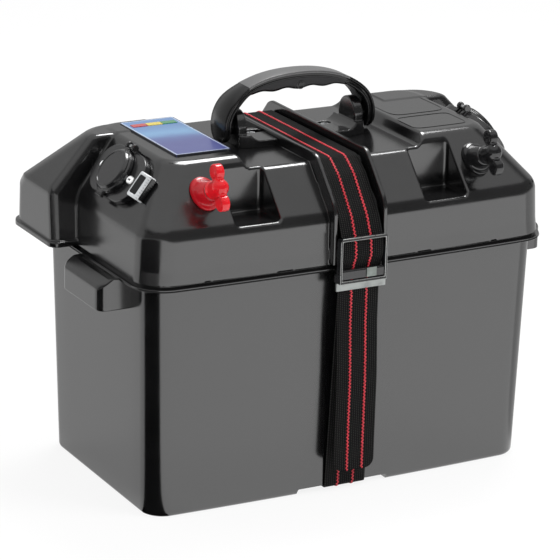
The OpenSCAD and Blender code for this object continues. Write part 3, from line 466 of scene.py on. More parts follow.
CLEAR_PLASTIC = Plastic("breaker_clear", (0.42, 0.43, 0.44), 0.12, ior=1.6, coat=0.7)
BOARD_GREEN = Plastic("board_green", (0.015, 0.10, 0.035), 0.4)
RIVET_WHITE = Plastic("rivet_paint", (0.9, 0.9, 0.9), 0.35, grain=0.01)
RIVET_METAL = Metal("rivet_white", (0.93, 0.93, 0.93), 0.3)
BRIGHT_STEEL = Metal("steel_bright", (0.72, 0.73, 0.74), 0.26)
# Painted highlight: grey metal on the buckle's lower lip stands for the light it catches.
LIP_HIGHLIGHT_METAL = Metal("steel_grey", (0.42, 0.44, 0.43), 0.46)
PLATE_STEEL = Metal("steel_plate", (0.27, 0.3, 0.28), 0.42)
BRASS = Metal("brass_turned", (0.66, 0.47, 0.2), 0.28)
WEBBING = Webbing("webbing_black")
THREAD = Thread("thread_red")


# ---- meshes ----


@dataclass(frozen=True)
class Role:
    """What a piece is in the part: its finish, body, material slot and the CAD nodes it stands for."""

    finish: Finish
    body: str
    slot: str
    replaced: tuple = ()


def linked(name: str, data: bpy.types.ID) -> bpy.types.Object:
    """A new object in the scene."""
    made = bpy.data.objects.new(name, data)
    bpy.context.scene.collection.objects.link(made)
    return made


def make_piece(name: str, points: Array, faces: Array, role: Role) -> bpy.types.Object:
    """Turns points and quads or triangles into a piece that rides on a body.

    Args:
        name: the piece's name.
        points: (n, 3) millimetres.
        faces: (m, 4) or (m, 3) point numbers; a quad whose last two are the same is a triangle.
        role: its finish, body, slot and nodes.

    Returns:
        The object, with its place in its mesh.
    """
    mesh = bpy.data.meshes.new(name)
    keep = faces != np.roll(faces, -1, axis=1)
    counts = keep.sum(1)
    corners = faces[keep]
    mesh.vertices.add(len(points))
    mesh.vertices.foreach_set("co", (points * MM).astype(np.float32).ravel())
    mesh.loops.add(len(corners))
    mesh.loops.foreach_set("vertex_index", corners.astype(np.int32))
    mesh.polygons.add(len(faces))
    mesh.polygons.foreach_set("loop_start", (np.cumsum(counts) - counts).astype(np.int32))
    mesh.polygons.foreach_set("use_smooth", np.ones(len(faces), bool))
    mesh.update(calc_edges=True)
    mesh.validate()
    piece = linked(name, mesh)
    mesh.materials.append(role.finish.material())
    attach(piece, role.body)
    if role.replaced:
        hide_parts(*role.replaced)
    log.info("%s: %d points, %d faces", name, len(points), len(faces))
    return piece


def grid_faces(rows: int, columns: int, closed_rows: bool = False, closed_columns: bool = True) -> Array:
    """Quads of a grid of points.

    Args:
        rows: number of rows.
        columns: number of points in a row.
        closed_rows: whether the last row joins the first.
        closed_columns: whether each row is a ring.

    Returns:
        (m, 4) point numbers.
    """
    i = np.arange(rows if closed_rows else rows - 1)[:, None]
    j = np.arange(columns if closed_columns else columns - 1)[None, :]
    i1, j1 = (i + 1) % rows, (j + 1) % columns
    quads = np.stack(np.broadcast_arrays(i * columns + j, i * columns + j1, i1 * columns + j1, i1 * columns + j), -1)
    return quads.reshape(-1, 4)


def capped_grid(points: Array, closed_rows: bool = False) -> tuple[Array, Array]:
    """Rings stacked into a tube whose two ends are closed by fans on their middles.

    Args:
        points: (rows, columns, 3) with each row a ring.
        closed_rows: whether the tube joins itself, which needs no ends.

    Returns:
        Points (n, 3) and quads (m, 4).
    """
    rows, columns = points.shape[:2]
    faces = grid_faces(rows, columns, closed_rows)
    flat = points.reshape(-1, 3)
    if closed_rows:
        return flat, faces
    j = np.arange(columns)
    j1 = (j + 1) % columns
    last_row = (rows - 1) * columns
    first = np.full(columns, len(flat))
    ends = [
        np.stack([j1, j, first, first], -1),
        np.stack([j + last_row, j1 + last_row, first + 1, first + 1], -1),
    ]
    middles = np.stack([points[0].mean(0), points[-1].mean(0)])
    return np.concatenate([flat, middles]), np.concatenate([faces, *ends])


def outward(piece: bpy.types.Object, angle: float | None = None) -> bpy.types.Object:
    """Merges doubles and turns every face of a closed piece outwards.

    Args:
        piece: the piece.
        angle: degrees beyond which the edge between two faces stays crisp; every edge is smooth without it.

    Returns:
        The same piece.
    """
    work = bmesh.new()
    work.from_mesh(piece.data)
    bmesh.ops.remove_doubles(work, verts=work.verts, dist=1e-6)
    bmesh.ops.dissolve_degenerate(work, edges=work.edges, dist=1e-7)
    bmesh.ops.recalc_face_normals(work, faces=work.faces)
    work.to_mesh(piece.data)
    work.free()
    piece.data.update()
    if angle is not None:
        piece.data.set_sharp_from_angle(angle=math.radians(angle))
    return piece


def unit(vectors: Array) -> Array:
    """(n, k) vectors at length 1."""
    return vectors / np.maximum(np.linalg.norm(vectors, axis=1), 1e-9)[:, None]


def turned(radii: Array, count: int) -> tuple[Array, Array]:
    """Cosine and sine parts of count points on rings of these radii, each (rings, count)."""
    spin = np.linspace(0, FULL_TURN, count + 1)[:-1]
    return radii[:, None] * np.cos(spin), radii[:, None] * np.sin(spin)


def closed_sections(x: Array, y: Array, z: Array) -> Array:
    """Half sections in front of mid width, closed by their images behind it.

    Args:
        x: (n, k) places along X.
        y: (n, k) half widths, 0 at the first and the last point.
        z: (n, k) heights.

    Returns:
        (n, 2k - 2, 3) rings.
    """
    x, z = (np.concatenate([a, a[:, -2:0:-1]], 1) for a in (x, z))
    return np.stack([x, np.concatenate([-y, y[:, -2:0:-1]], 1), z], -1)


# ---- fields ----


def rounded_and(a: Array, b: Array, r: float) -> Array:
    """Field of what lies in both solids, its edge rounded.

    The edge follows the circle on which the distances past (-r, -r) add up, squared, to r squared.
    """
    return np.minimum(-r, np.maximum(a, b)) + np.hypot(np.maximum(a + r, 0), np.maximum(b + r, 0))


def rounded_or(a: Array, b: Array, r: float) -> Array:
    """Field of what lies in either solid, the corner between them filled with radius r."""
    return -rounded_and(-a, -b, r)


def rounded_cut(a: Array, b: Array, r: float) -> Array:
    """Field of the first solid without the second, its new edge rounded."""
    return rounded_and(a, -b, r)


def box_field(x: Array, y: Array, z: Array, half: Sequence[float], r: float) -> Array:
    """Field of a box round 0 whose edges are rounded.

    Args:
        x, y, z: places.
        half: its three half sizes.
        r: radius of its edges.

    Returns:
        The field, below 0 inside.
    """
    qx, qy, qz = abs(x) - half[0] + r, abs(y) - half[1] + r, abs(z) - half[2] + r
    outside = np.sqrt(np.maximum(qx, 0) ** 2 + np.maximum(qy, 0) ** 2 + np.maximum(qz, 0) ** 2)
    return outside + np.minimum(np.maximum(qx, np.maximum(qy, qz)), 0) - r


def rod_field(u: Array, v: Array, along: Array, radius: float, low: float, high: float, r: float) -> Array:
    """Field of a round rod along one axis, its end edges rounded.

    Args:
        u, v: places across it, from its axis.
        along: places along it.
        radius: its radius.
        low: where it starts.
        high: where it ends.
        r: radius of its end edges.

    Returns:
        The field, below 0 inside.
    """
    return rounded_and(np.hypot(u, v) - radius, np.maximum(low - along, along - high), r)


CORNERS = np.array([[i, j, k] for i in (0, 1) for j in (0, 1) for k in (0, 1)])
CELL_EDGES = [(a, b) for a in range(8) for b in range(a + 1, 8) if abs(CORNERS[a] - CORNERS[b]).sum() == 1]
SETTLE_ROUNDS = 3
SETTLE_REACH = 0.02
SETTLE_MOST = 0.4
FLATTEST = 0.05


def field_surface(field: Field, low: Sequence[float], high: Sequence[float], step: float) -> tuple[Array, Array]:
    """Surface where a field is 0, with one point in each cell of a grid that it passes through.

    The point starts at the mean of the crossings of the cell's edges, found by straight interpolation,
    and then moves down the field's slope onto the surface. Each grid edge that the surface crosses
    gives one quad between the four cells around it.

    Args:
        field: the solid.
        low: lowest corner of the grid.
        high: highest corner of the grid.
        step: size of a cell.

    Returns:
        Points (n, 3) and quads (m, 4).
    """
    axes = [np.arange(a, b + step, step, dtype=np.float64) for a, b in zip(low, high)]
    grid = np.meshgrid(*axes, indexing="ij", sparse=True)
    values = np.asarray(field(*grid), dtype=np.float32)
    values = np.broadcast_to(values, [len(a) for a in axes]).copy()
    values[values == 0] = 1e-6
    inside = values < 0
    shape = [len(a) - 1 for a in axes]
    count = np.zeros(shape, np.int8)
    for i, j, k in CORNERS:
        count += inside[i : i + shape[0], j : j + shape[1], k : k + shape[2]]
    cells = np.argwhere((count > 0) & (count < 8))
    number = np.full(shape, -1, np.int64)
    number[tuple(cells.T)] = np.arange(len(cells))
    total = np.zeros((len(cells), 3))
    hits = np.zeros(len(cells))
    at = [values[tuple((cells + c).T)] for c in CORNERS]
    for a, b in CELL_EDGES:
        crossed = (at[a] < 0) != (at[b] < 0)
        share = np.where(crossed, at[a] / np.where(crossed, at[a] - at[b], 1), 0)
        total += np.where(crossed[:, None], CORNERS[a] + share[:, None] * (CORNERS[b] - CORNERS[a]), 0)
        hits += crossed
    points = np.array([a[0] for a in axes]) + (cells + total / hits[:, None]) * step
    for _ in range(SETTLE_ROUNDS):
        here, slope = slope_of(field, points, SETTLE_REACH)
        move = here[:, None] * slope / np.maximum((slope**2).sum(1), FLATTEST)[:, None]
        points -= np.clip(move, -SETTLE_MOST * step, SETTLE_MOST * step)
    quads = []
    for axis in range(3):
        u, v = (axis + 1) % 3, (axis + 2) % 3
        near = [slice(1, -1)] * 3
        near[axis] = slice(0, -1)
        far = list(near)
        far[axis] = slice(1, None)
        edge = np.argwhere(inside[tuple(near)] != inside[tuple(far)])
        edge[:, u] += 1
        edge[:, v] += 1
        rising = inside[tuple(edge.T)]
        ring = []
        for du, dv in ((-1, -1), (0, -1), (0, 0), (-1, 0)):
            cell = edge.copy()
            cell[:, u] += du
            cell[:, v] += dv
            ring.append(number[tuple(cell.T)])
        quad = np.stack(ring, -1)
        quad[~rising] = quad[~rising][:, ::-1]
        quads.append(quad)
    return points, np.concatenate(quads)


def slope_of(field: Field, points: Array, reach: float) -> tuple[Array, Array]:
    """Field and its slope at points, from its differences over reach on both sides."""
    x, y, z = points.T
    here = field(x, y, z)
    slope = [
        (field(x + dx, y + dy, z + dz) - field(x - dx, y - dy, z - dz)) / (2 * reach)
        for dx, dy, dz in np.eye(3) * reach
    ]
    return here, np.stack(slope, -1)


def thinned(piece: bpy.types.Object, keep: float) -> None:
    """Leaves a piece a share of its triangles, fewest where it is flat."""
    piece.modifiers.new("thin", "DECIMATE").ratio = keep
    evaluated = piece.evaluated_get(bpy.context.evaluated_depsgraph_get())
    mesh = bpy.data.meshes.new_from_object(evaluated)
    piece.modifiers.clear()
    old, piece.data = piece.data, mesh
    bpy.data.meshes.remove(old)
    mesh.name = piece.name


def field_piece(
    name: str, field: Field, low: Sequence[float], high: Sequence[float], step: float, role: Role,
    place: Place | None = None, keep: float = 1.0,
) -> bpy.types.Object:
    """Piece whose surface is where a field is 0, shaded by the field's own slope.

    Args:
        name: the piece's name.
        field: the solid, in its own frame.
        low: lowest corner of the grid.
        high: highest corner of the grid.
        step: size of a cell.
        role: its finish, body, slot and nodes.
        place: takes points from the field's frame to the model's.
        keep: share of the triangles that is kept.

    Returns:
        The piece.
    """
    piece = make_piece(name, *field_surface(field, low, high, step), role)
    if keep < 1:
        thinned(piece, keep)
    mesh = piece.data
    points = np.zeros(len(mesh.vertices) * 3, np.float32)
    mesh.vertices.foreach_get("co", points)
    points = points.reshape(-1, 3).astype(np.float64) / MM
    normals = unit(slope_of(field, points, min(0.2, 0.15 * step))[1])
    if place:
        normals = unit(place(normals) - place(np.zeros((1, 3))))
        mesh.vertices.foreach_set("co", (place(points) * MM).astype(np.float32).ravel())
    mesh.polygons.foreach_set("use_smooth", np.ones(len(mesh.polygons), bool))
    mesh.update()
    if mirrored(place):
        mesh.flip_normals()
    mesh.normals_split_custom_set_from_vertices(normals.astype(np.float32))
    return piece


def mirrored(place: Place | None) -> bool:
    """Whether a placing turns right hands into left hands."""
    return place is not None and float(np.linalg.det(place(np.eye(3)) - place(np.zeros((1, 3))))) < 0


def placing(origin: Sequence[float] = (0, 0, 0), turn: Matrix | None = None, side: Side = Side.RIGHT) -> Place:
    """Function that turns points, moves them to an origin and mirrors them in X for the left side.

    Args:
        origin: where the frame's 0 comes to lie.
        turn: the frame's turn, none if not given.
        side: the side of the part.

    Returns:
        The function, from (n, 3) to (n, 3) points.
    """
    turned_by = np.eye(3) if turn is None else np.array(turn.to_3x3())

    def place(points: Array) -> Array:
        """Places (n, 3) points."""
        return (points @ turned_by.T + np.array(origin)) * (side.value, 1.0, 1.0)

    return place


# ---- shared shape of box and lid ----


@dataclass
class BoxShape:
    """Driving sizes of tub and lid, and the walls that follow from them."""

    length: float = 350.0
    width: float = 194.0
    height: float = 199.0
    lean: float = 4.4
    bow: float = 2.8
    corner: float = 20.0
    wall: float = 3.0
    floor: float = 8.5
    foot: float = 5.0
    foot_gap: float = 84.0
    ledge: float = 9.0
    ledge_thick: float = 4.0
    lip: float = 6.0
    lid_gap: float = 2.5
    break_z: float = 240.0
    deck_z: float = 286.0
    deck_x: float = 147.0
    deck_y: float = 64.0
    centre_z: float = 276.0

    def half_x(self, z: Array | float) -> Array | float:
        """Half length of the tub at a height."""
        return self.length / 2 + self.lean * z / self.height

    def half_y(self, z: Array | float) -> Array | float:
        """Half width of the tub at a height."""
        return self.width / 2 + self.lean * z / self.height

    @property
    def lid_x(self) -> float:
        """Half length of the lid at its lower edge."""
        return self.half_x(self.height) + self.lid_gap + self.wall

    @property
    def lid_y(self) -> float:
        """Half width of the lid at its lower edge."""
        return self.half_y(self.height) + self.lid_gap + self.wall

    @property
    def break_x(self) -> float:
        """Half length of the lid where its end slope starts."""
        return self.lid_x - 2.0

    @property
    def break_y(self) -> float:
        """Half width of the lid where its front slope starts."""
        return self.lid_y - 1.0

    @property
    def slope_angle(self) -> float:
        """Angle of the front slope above the horizontal, in radians."""
        return math.atan2(self.deck_z - self.break_z, self.break_y - self.deck_y)

    @property
    def end_angle(self) -> float:
        """Angle of the end slope above the horizontal, in radians."""
        return math.atan2(self.deck_z - self.break_z, self.break_x - self.deck_x)

    def slope_y(self, z: Array | float) -> Array | float:
        """Distance of the front slope from mid width at a height."""
        return self.deck_y + (self.deck_z - z) * (self.break_y - self.deck_y) / (self.deck_z - self.break_z)

    def slope_x(self, z: Array | float) -> Array | float:
        """Distance of the end slope from mid length at a height."""
        return self.deck_x + (self.deck_z - z) * (self.break_x - self.deck_x) / (self.deck_z - self.break_z)


BOX = BoxShape()


# ---- tub ----


@dataclass
class Tub:
    """Deep tub with two feet, a ledge round its top and two hand grips."""

    corner_points: int = 14
    side_points: int = 64
    bottom_round: float = 4.0
    seat: float = 1.9
    seat_out: float = 4.3
    grip_y: float = -30.0
    grip_half: float = 36.0
    grip_low: float = 171.0
    grip_face: float = 20.0
    grip_reach: float = 28.0
    grip_corner: float = 8.0
    grip_root: float = 1.5
    grip_fall: float = 1.6

    def ring(self, offset: Array, z: Array) -> Array:
        """Rounded rectangle at each height, moved out by offset, with bowed long sides.

        A corner is a quarter circle, a long side is a parabola across its length, and a short side is
        straight. The points start at mid end and run anticlockwise.

        Args:
            offset: (rows,) distances from the tub's wall.
            z: (rows,) heights.

        Returns:
            (rows, points, 3) places.
        """
        hx = (BOX.half_x(z) + offset)[:, None]
        hy = (BOX.half_y(z) + offset)[:, None]
        r = np.maximum(BOX.corner + offset, 2.0)[:, None]
        gap = BOX.foot_gap / 2 / (BOX.length / 2 - BOX.corner)
        half = np.sort(np.concatenate([np.linspace(0, 1, self.side_points // 2), [gap - 0.004, gap + 0.004]]))
        u = np.concatenate([half[::-1], -half[1:]])[1:-1][None, :]
        turn = np.linspace(0, math.pi / 2, self.corner_points)[None, :]
        side = np.linspace(0, 1, 5)[None, :-1]
        x = [hx + 0 * side, hx - r + r * np.cos(turn), u * (hx - r)]
        y = [(hy - r) * side, hy - r + r * np.sin(turn), hy + BOX.bow * (1 - u * u)]
        x += [-(hx - r) - r * np.sin(turn), -hx + 0 * side, -hx]
        y += [hy - r + r * np.cos(turn), (hy - r) * side[:, ::-1], 0 * hy]
        back_x, back_y = np.concatenate(x, 1), np.concatenate(y, 1)
        x = np.concatenate([back_x, back_x[:, -2:0:-1]], 1)
        y = np.concatenate([back_y, -back_y[:, -2:0:-1]], 1)
        return np.stack([x, y, np.broadcast_to(z[:, None], x.shape)], -1)

    def profile(self) -> Array:
        """Section of the wall as (offset, height) rows, from the underside over the ledge to the floor."""
        r = self.bottom_round
        top, under = BOX.height, BOX.height - BOX.ledge_thick
        bend = np.linspace(0, math.pi / 2, 6)
        foot = np.stack([-r + r * np.sin(bend), r - r * np.cos(bend)], -1)
        rim = top + BOX.lip
        rows = [
            *foot,
            *((0.0, z) for z in np.linspace(20, under - 4, 8)),
            (0.0, under - 1.6),
            (0.4, under - 0.5),
            (1.6, under),
            (BOX.ledge - 0.4, under),
            (BOX.ledge, under + 0.35),
            (BOX.ledge - 0.5, under + 1.3),
            (BOX.ledge - 0.5, top - self.seat - 0.3),
            (BOX.ledge - 0.8, top - self.seat),
            (self.seat_out, top - self.seat),
            (self.seat_out, top),
            (0.3, top),
            (0.0, top + 0.4),
            (0.0, rim - 0.8),
            (-0.8, rim),
            (-BOX.wall + 0.8, rim),
            (-BOX.wall, rim - 0.8),
            (-BOX.wall, BOX.floor + 3.0),
            (-BOX.wall - 0.9, BOX.floor + 0.9),
            (-BOX.wall - 3.0, BOX.floor),
        ]
        return np.array(rows)

    def build(self) -> None:
        """Carries the profile round the tub, raises the strap channel and closes floor and underside."""
        profile = self.profile()
        points = self.ring(profile[:, 0], profile[:, 1])
        channel = (abs(points[..., 0]) < BOX.foot_gap / 2) & (points[..., 2] < BOX.foot)
        points[..., 2] = np.where(channel, BOX.foot, points[..., 2])
        rows, columns = points.shape[:2]
        faces = grid_faces(rows, columns)
        k = np.arange(columns // 2)
        pair = np.stack([k, k + 1, (columns - k - 1) % columns, (columns - k) % columns], -1)
        floor = pair[:, ::-1] + (rows - 1) * columns
        role = Role(BOX_PLASTIC, "base", "box_plastic", ("base_tub",))
        outward(make_piece("tub", points.reshape(-1, 3), np.concatenate([faces, pair, floor]), role), 24)
        for side in Side:
            self.grip(side)

    def grip(self, side: Side) -> None:
        """One hand grip: a rounded block whose top slopes up to the ledge, open underneath."""
        wall_x = BOX.half_x(self.grip_low) - self.grip_root
        reach_x = BOX.half_x(self.grip_low) + self.grip_reach
        face_z = self.grip_low + self.grip_face
        fall = math.cos(math.atan(1 / self.grip_fall))

        def field(x: Array, y: Array, z: Array) -> Array:
            """Block less its hollow, which leaves a wall on three sides and the top."""
            slope = ((z - face_z) + (x - reach_x) / self.grip_fall) * fall

            def block(t: float, r: float) -> Array:
                """Block drawn in by t, its upright edges rounded."""
                ends = abs(y - self.grip_y) - self.grip_half + t
                plan = rounded_and(x - reach_x + t, ends, r)
                return rounded_and(plan, slope + t, 2.5)

            outer = np.maximum(block(0.0, self.grip_corner), z - BOX.height + 2.0)
            outer = rounded_and(outer, self.grip_low - z, 1.0)
            inner = np.maximum(block(BOX.wall, self.grip_corner - 2.5), BOX.half_x(BOX.height) + 0.3 - x)
            return np.maximum(rounded_cut(outer, inner, 0.8), wall_x - x)

        low = (wall_x - 2, self.grip_y - self.grip_half - 2, self.grip_low - 2)
        high = (reach_x + 2, self.grip_y + self.grip_half + 2, BOX.height)
        role = Role(BOX_PLASTIC, "base", "box_plastic")
        field_piece(f"hand_grip_{side.word}", field, low, high, 0.9, role, placing(side=side), 0.5)


# ---- lid ----


@dataclass
class Lid:
    """Lid shell: skirt, slopes, two high decks, a lowered centre deck, lobes, pockets and strap ribs."""

    step: float = 1.45
    keep: float = 0.5
    corner: float = 25.5
    deck_corner: float = 15.0
    break_round: float = 4.5
    deck_round: float = 3.2
    bead: float = 2.5
    bead_high: float = 5.0
    flare: float = 0.5
    flare_high: float = 11.0
    lobe_x: float = 207.0
    lobe_top_x: float = 167.0
    lobe_y: float = 22.0
    lobe_lean: float = 11.0
    lobe_break: float = 245.0
    lobe_root: float = 40.0
    lobe_corner: float = 20.0
    lobe_draft: float = 0.02
    centre_x: float = 80.0
    step_lean: float = 0.4
    pocket_x0: float = 67.0
    pocket_x1: float = 106.0
    pocket_y: float = 70.0
    rib_x0: float = 21.0
    rib_thick: float = 3.5
    rib_high: float = 8.5
    rib_slope: float = 13.0
    rib_skirt: float = 6.6

    def bow(self, x: Array) -> Array:
        """How far the long sides swell out at a place along X: a parabola between the corners."""
        return BOX.bow * np.clip(1 - (x / (BOX.lid_x - self.corner)) ** 2, 0, 1)

    def body(self, x: Array, y: Array, z: Array) -> Array:
        """Lid without its lobes: leaning skirt, four slopes and the deck plane, all edges rounded."""
        ax, ay = abs(x), abs(y)
        up = np.clip((z - BOX.height) / (BOX.break_z - BOX.height), 0, 1)
        high = np.clip((z - BOX.break_z) / (BOX.deck_z - BOX.break_z), 0, 1)
        bow = self.bow(x)
        skirt = rounded_and(ax - BOX.lid_x + 2.0 * up, ay - BOX.lid_y + up - bow, self.corner)
        front = (ay - BOX.slope_y(z) - bow * (0.9 - 0.8 * high)) * math.sin(BOX.slope_angle)
        end = (ax - BOX.slope_x(z)) * math.sin(BOX.end_angle)
        slopes = rounded_and(end, front, self.deck_corner)
        return rounded_and(rounded_and(skirt, slopes, self.break_round), z - BOX.deck_z, self.deck_round)

    def lobe(self, x: Array, y: Array, z: Array) -> Array:
        """The lobe at each back end: leaning front wall, upright end face and a slope down to it."""
        ax = abs(x)
        up = (z - BOX.height) / (BOX.deck_z - BOX.height)
        slope_run = self.lobe_x - 1.0 - self.lobe_top_x
        rise = BOX.deck_z - self.lobe_break
        tilt = math.atan2(rise, slope_run)
        face = ax - self.lobe_x + self.lobe_draft * (z - BOX.height)
        slope = (ax - self.lobe_top_x - (BOX.deck_z - z) * slope_run / rise) * math.sin(tilt)
        end = rounded_and(face, slope, 3.0)
        wall = (self.lobe_y + self.lobe_lean * up) - y
        back = np.maximum((y - BOX.slope_y(z) + 0.6) * math.sin(BOX.slope_angle), y - BOX.lid_y + up + 0.6)
        plan = rounded_and(rounded_and(end, wall, 7.0), back, self.lobe_corner)
        return np.maximum(rounded_and(plan, z - BOX.deck_z, self.deck_round), BOX.deck_x - self.lobe_root - ax)

    def outside(self, x: Array, y: Array, z: Array) -> Array:
        """Outer form with its lowered centre deck and its front pockets."""
        ax = abs(x)
        whole = rounded_or(self.body(x, y, z), self.lobe(x, y, z), 2.5)
        lean = self.centre_x + self.step_lean * (z - BOX.centre_z)
        centre = rounded_and(BOX.centre_z - z, (ax - lean) * 0.93, 3.5)
        whole = rounded_cut(whole, centre, 2.6)
        middle = (self.pocket_x0 + self.pocket_x1) / 2
        sides = abs(ax - middle) - (self.pocket_x1 - middle)
        pocket = rounded_and(rounded_and(y + self.pocket_y, BOX.break_z - z, 2.5), sides, 3.0)
        return rounded_cut(whole, pocket, 2.2)

    def beading(self, x: Array, y: Array, z: Array) -> Array:
        """Bead round the lower edge of the lobes."""
        lobe = rounded_and(abs(x) - self.lobe_x - self.bead, self.lobe_y - self.bead - y, 8.0)
        lobe = rounded_and(lobe, y - BOX.lid_y - self.bead / 2, self.lobe_corner)
        lobe = np.maximum(lobe, BOX.deck_x - self.lobe_root - abs(x))
        return rounded_and(lobe, abs(z - BOX.height - self.bead_high / 2) - self.bead_high / 2, 1.0)

    def flaring(self, x: Array, y: Array, z: Array) -> Array:
        """Lower part of the skirt, which flares out evenly down to its edge."""
        rise = z - BOX.height
        up = rise / (BOX.break_z - BOX.height)
        out = self.flare * (1 - rise / self.flare_high)
        plan = rounded_and(abs(x) - BOX.lid_x + 2 * up - out, abs(y) - BOX.lid_y + up - out - self.bow(x), self.corner)
        return np.maximum(plan, np.maximum(-rise, rise - self.flare_high - 1.0))

    def ribs(self, x: Array, y: Array, z: Array) -> Array:
        """The two ribs beside the strap, a skin over deck, slopes and skirt."""
        ax, ay = abs(x), abs(y)
        middle = self.rib_x0 + self.rib_thick / 2
        over = (ay - BOX.slope_y(z)) * math.sin(BOX.slope_angle) - self.rib_slope
        skin = rounded_and(over, ay - BOX.lid_y - BOX.bow - self.rib_skirt, 5.0)
        skin = rounded_and(skin, z - BOX.centre_z - self.rib_high, 4.0)
        skin = np.maximum(skin, BOX.height + 1.5 - z)
        return rounded_and(skin, abs(ax - middle) - self.rib_thick / 2, 0.9)

    def field(self, x: Array, y: Array, z: Array) -> Array:
        """Shell of the outer form with bead and ribs, open underneath."""
        outer = self.outside(x, y, z)
        inner = outer + BOX.wall
        form = rounded_or(outer, np.maximum(self.beading(x, y, z), -(outer + 1.5)), 1.2)
        form = np.minimum(form, self.flaring(x, y, z))
        form = np.minimum(form, self.ribs(x, y, z))
        return rounded_and(np.maximum(form, -inner), BOX.height - z, 0.6)

    def build(self) -> None:
        """Meshes the lid."""
        low = (-self.lobe_x - 5, -BOX.lid_y - 13, BOX.height - 3)
        high = (self.lobe_x + 5, BOX.lid_y + 13, BOX.deck_z + 4)
        role = Role(BOX_PLASTIC, "lid", "box_plastic", ("lid_shell",))
        field_piece("lid", self.field, low, high, self.step, role, keep=self.keep)


@dataclass
class HandleBlock:
    """Block that is screwed to the centre deck: a low saddle that rises in a curve to a round cheek."""

    low: float = 276.0
    top: float = 281.5
    x0: float = 24.6
    half_y: float = 20.0
    cut: float = 4.0
    cheek_x0: float = 50.0
    cheek_x1: float = 58.5
    cheek: float = 14.0
    pivot_z: float = 291.0
    sweep: float = 10.0
    screw_x: float = 35.25
    screw_y: float = 9.0
    room: float = 4.5
    slot: float = 6.0
    slot_deep: float = 3.5
    pin_room: float = 4.0
    blind: float = 1.0

    def field(self, x: Array, y: Array, z: Array) -> Array:
        """Saddle and cheek less the sunk slot of the screw."""
        ay = abs(y)
        bend = self.cheek_x0 - self.sweep
        hollow = self.sweep - np.hypot(np.maximum(x - bend, 0), z - self.top - self.sweep)
        rise = np.where(z < self.top + 0.5 * self.sweep, hollow, z - self.top - 0.5 * self.sweep)
        high = np.where(x < bend, z - self.top, np.minimum(np.maximum(rise, z - self.top - self.sweep), z - self.low))
        high = np.where(x > self.cheek_x0, z - self.top - 0.5 * self.sweep, high)
        corner = (ay - self.half_y + (x - self.cheek_x0) * self.cut / (self.cheek_x1 - self.cheek_x0)) * 0.905
        sides = np.maximum(rounded_and(ay - self.half_y, corner, 2.0), self.x0 - x)
        saddle = rounded_and(rounded_and(high, x - self.cheek_x1, 1.2), sides, 1.2)
        disc = np.hypot(y, np.maximum(z - self.pivot_z, 0)) - self.cheek
        cheek = rounded_and(disc, np.maximum(self.cheek_x0 - x, x - self.cheek_x1), 1.6)
        both = rounded_or(saddle, cheek, 0.8)
        slot = np.hypot(x - np.clip(x, self.screw_x - self.slot, self.screw_x), y - self.screw_y) - self.room
        both = rounded_and(both, -np.maximum(slot, self.top - self.slot_deep - z), 0.5)
        bore = np.maximum(np.hypot(y, z - self.pivot_z) - self.pin_room, self.cheek_x0 + self.blind - x)
        return np.maximum(np.maximum(both, -bore), self.low - z)

    def build(self) -> None:
        """Meshes the right block and its mirror image."""
        low = (self.x0 - 1, -self.half_y - 1, self.low - 1)
        high = (self.cheek_x1 + 1, self.half_y + 1, self.pivot_z + self.cheek + 1)
        for side in Side:
            role = Role(BOX_PLASTIC, "lid", "box_plastic", (f"{side.word}_handle_block",))
            field_piece(f"{side.word}_block", self.field, low, high, 0.7, role, placing(side=side), 0.5)


# ---- strap ----


def rounded_path(corners: Sequence[Sequence[float]], step: float, spread: float) -> Array:
    """Path through corners with its bends smoothed.

    The path is sampled at even steps. Each sample is then the mean of its neighbours under a bell curve,
    with the path mirrored through its ends, so the ends stay in place.

    Args:
        corners: (n, 2) corners.
        step: distance of the samples.
        spread: width of the bell curve.

    Returns:
        (m, 2) samples.
    """
    corners = np.array(corners, float)
    along = np.concatenate([[0], np.cumsum(np.hypot(*np.diff(corners, axis=0).T))])
    at = np.linspace(0, along[-1], int(along[-1] / step) + 1)
    path = np.stack([np.interp(at, along, corners[:, k]) for k in (0, 1)], -1)
    reach = int(3 * spread / step)
    bell = np.exp(-0.5 * (np.arange(-reach, reach + 1) * step / spread) ** 2)
    bell /= bell.sum()
    longer = np.concatenate([2 * path[:1] - path[reach:0:-1], path, 2 * path[-1:] - path[-2 : -reach - 2 : -1]])
    return np.stack([np.convolve(longer[:, k], bell, "valid") for k in (0, 1)], -1)


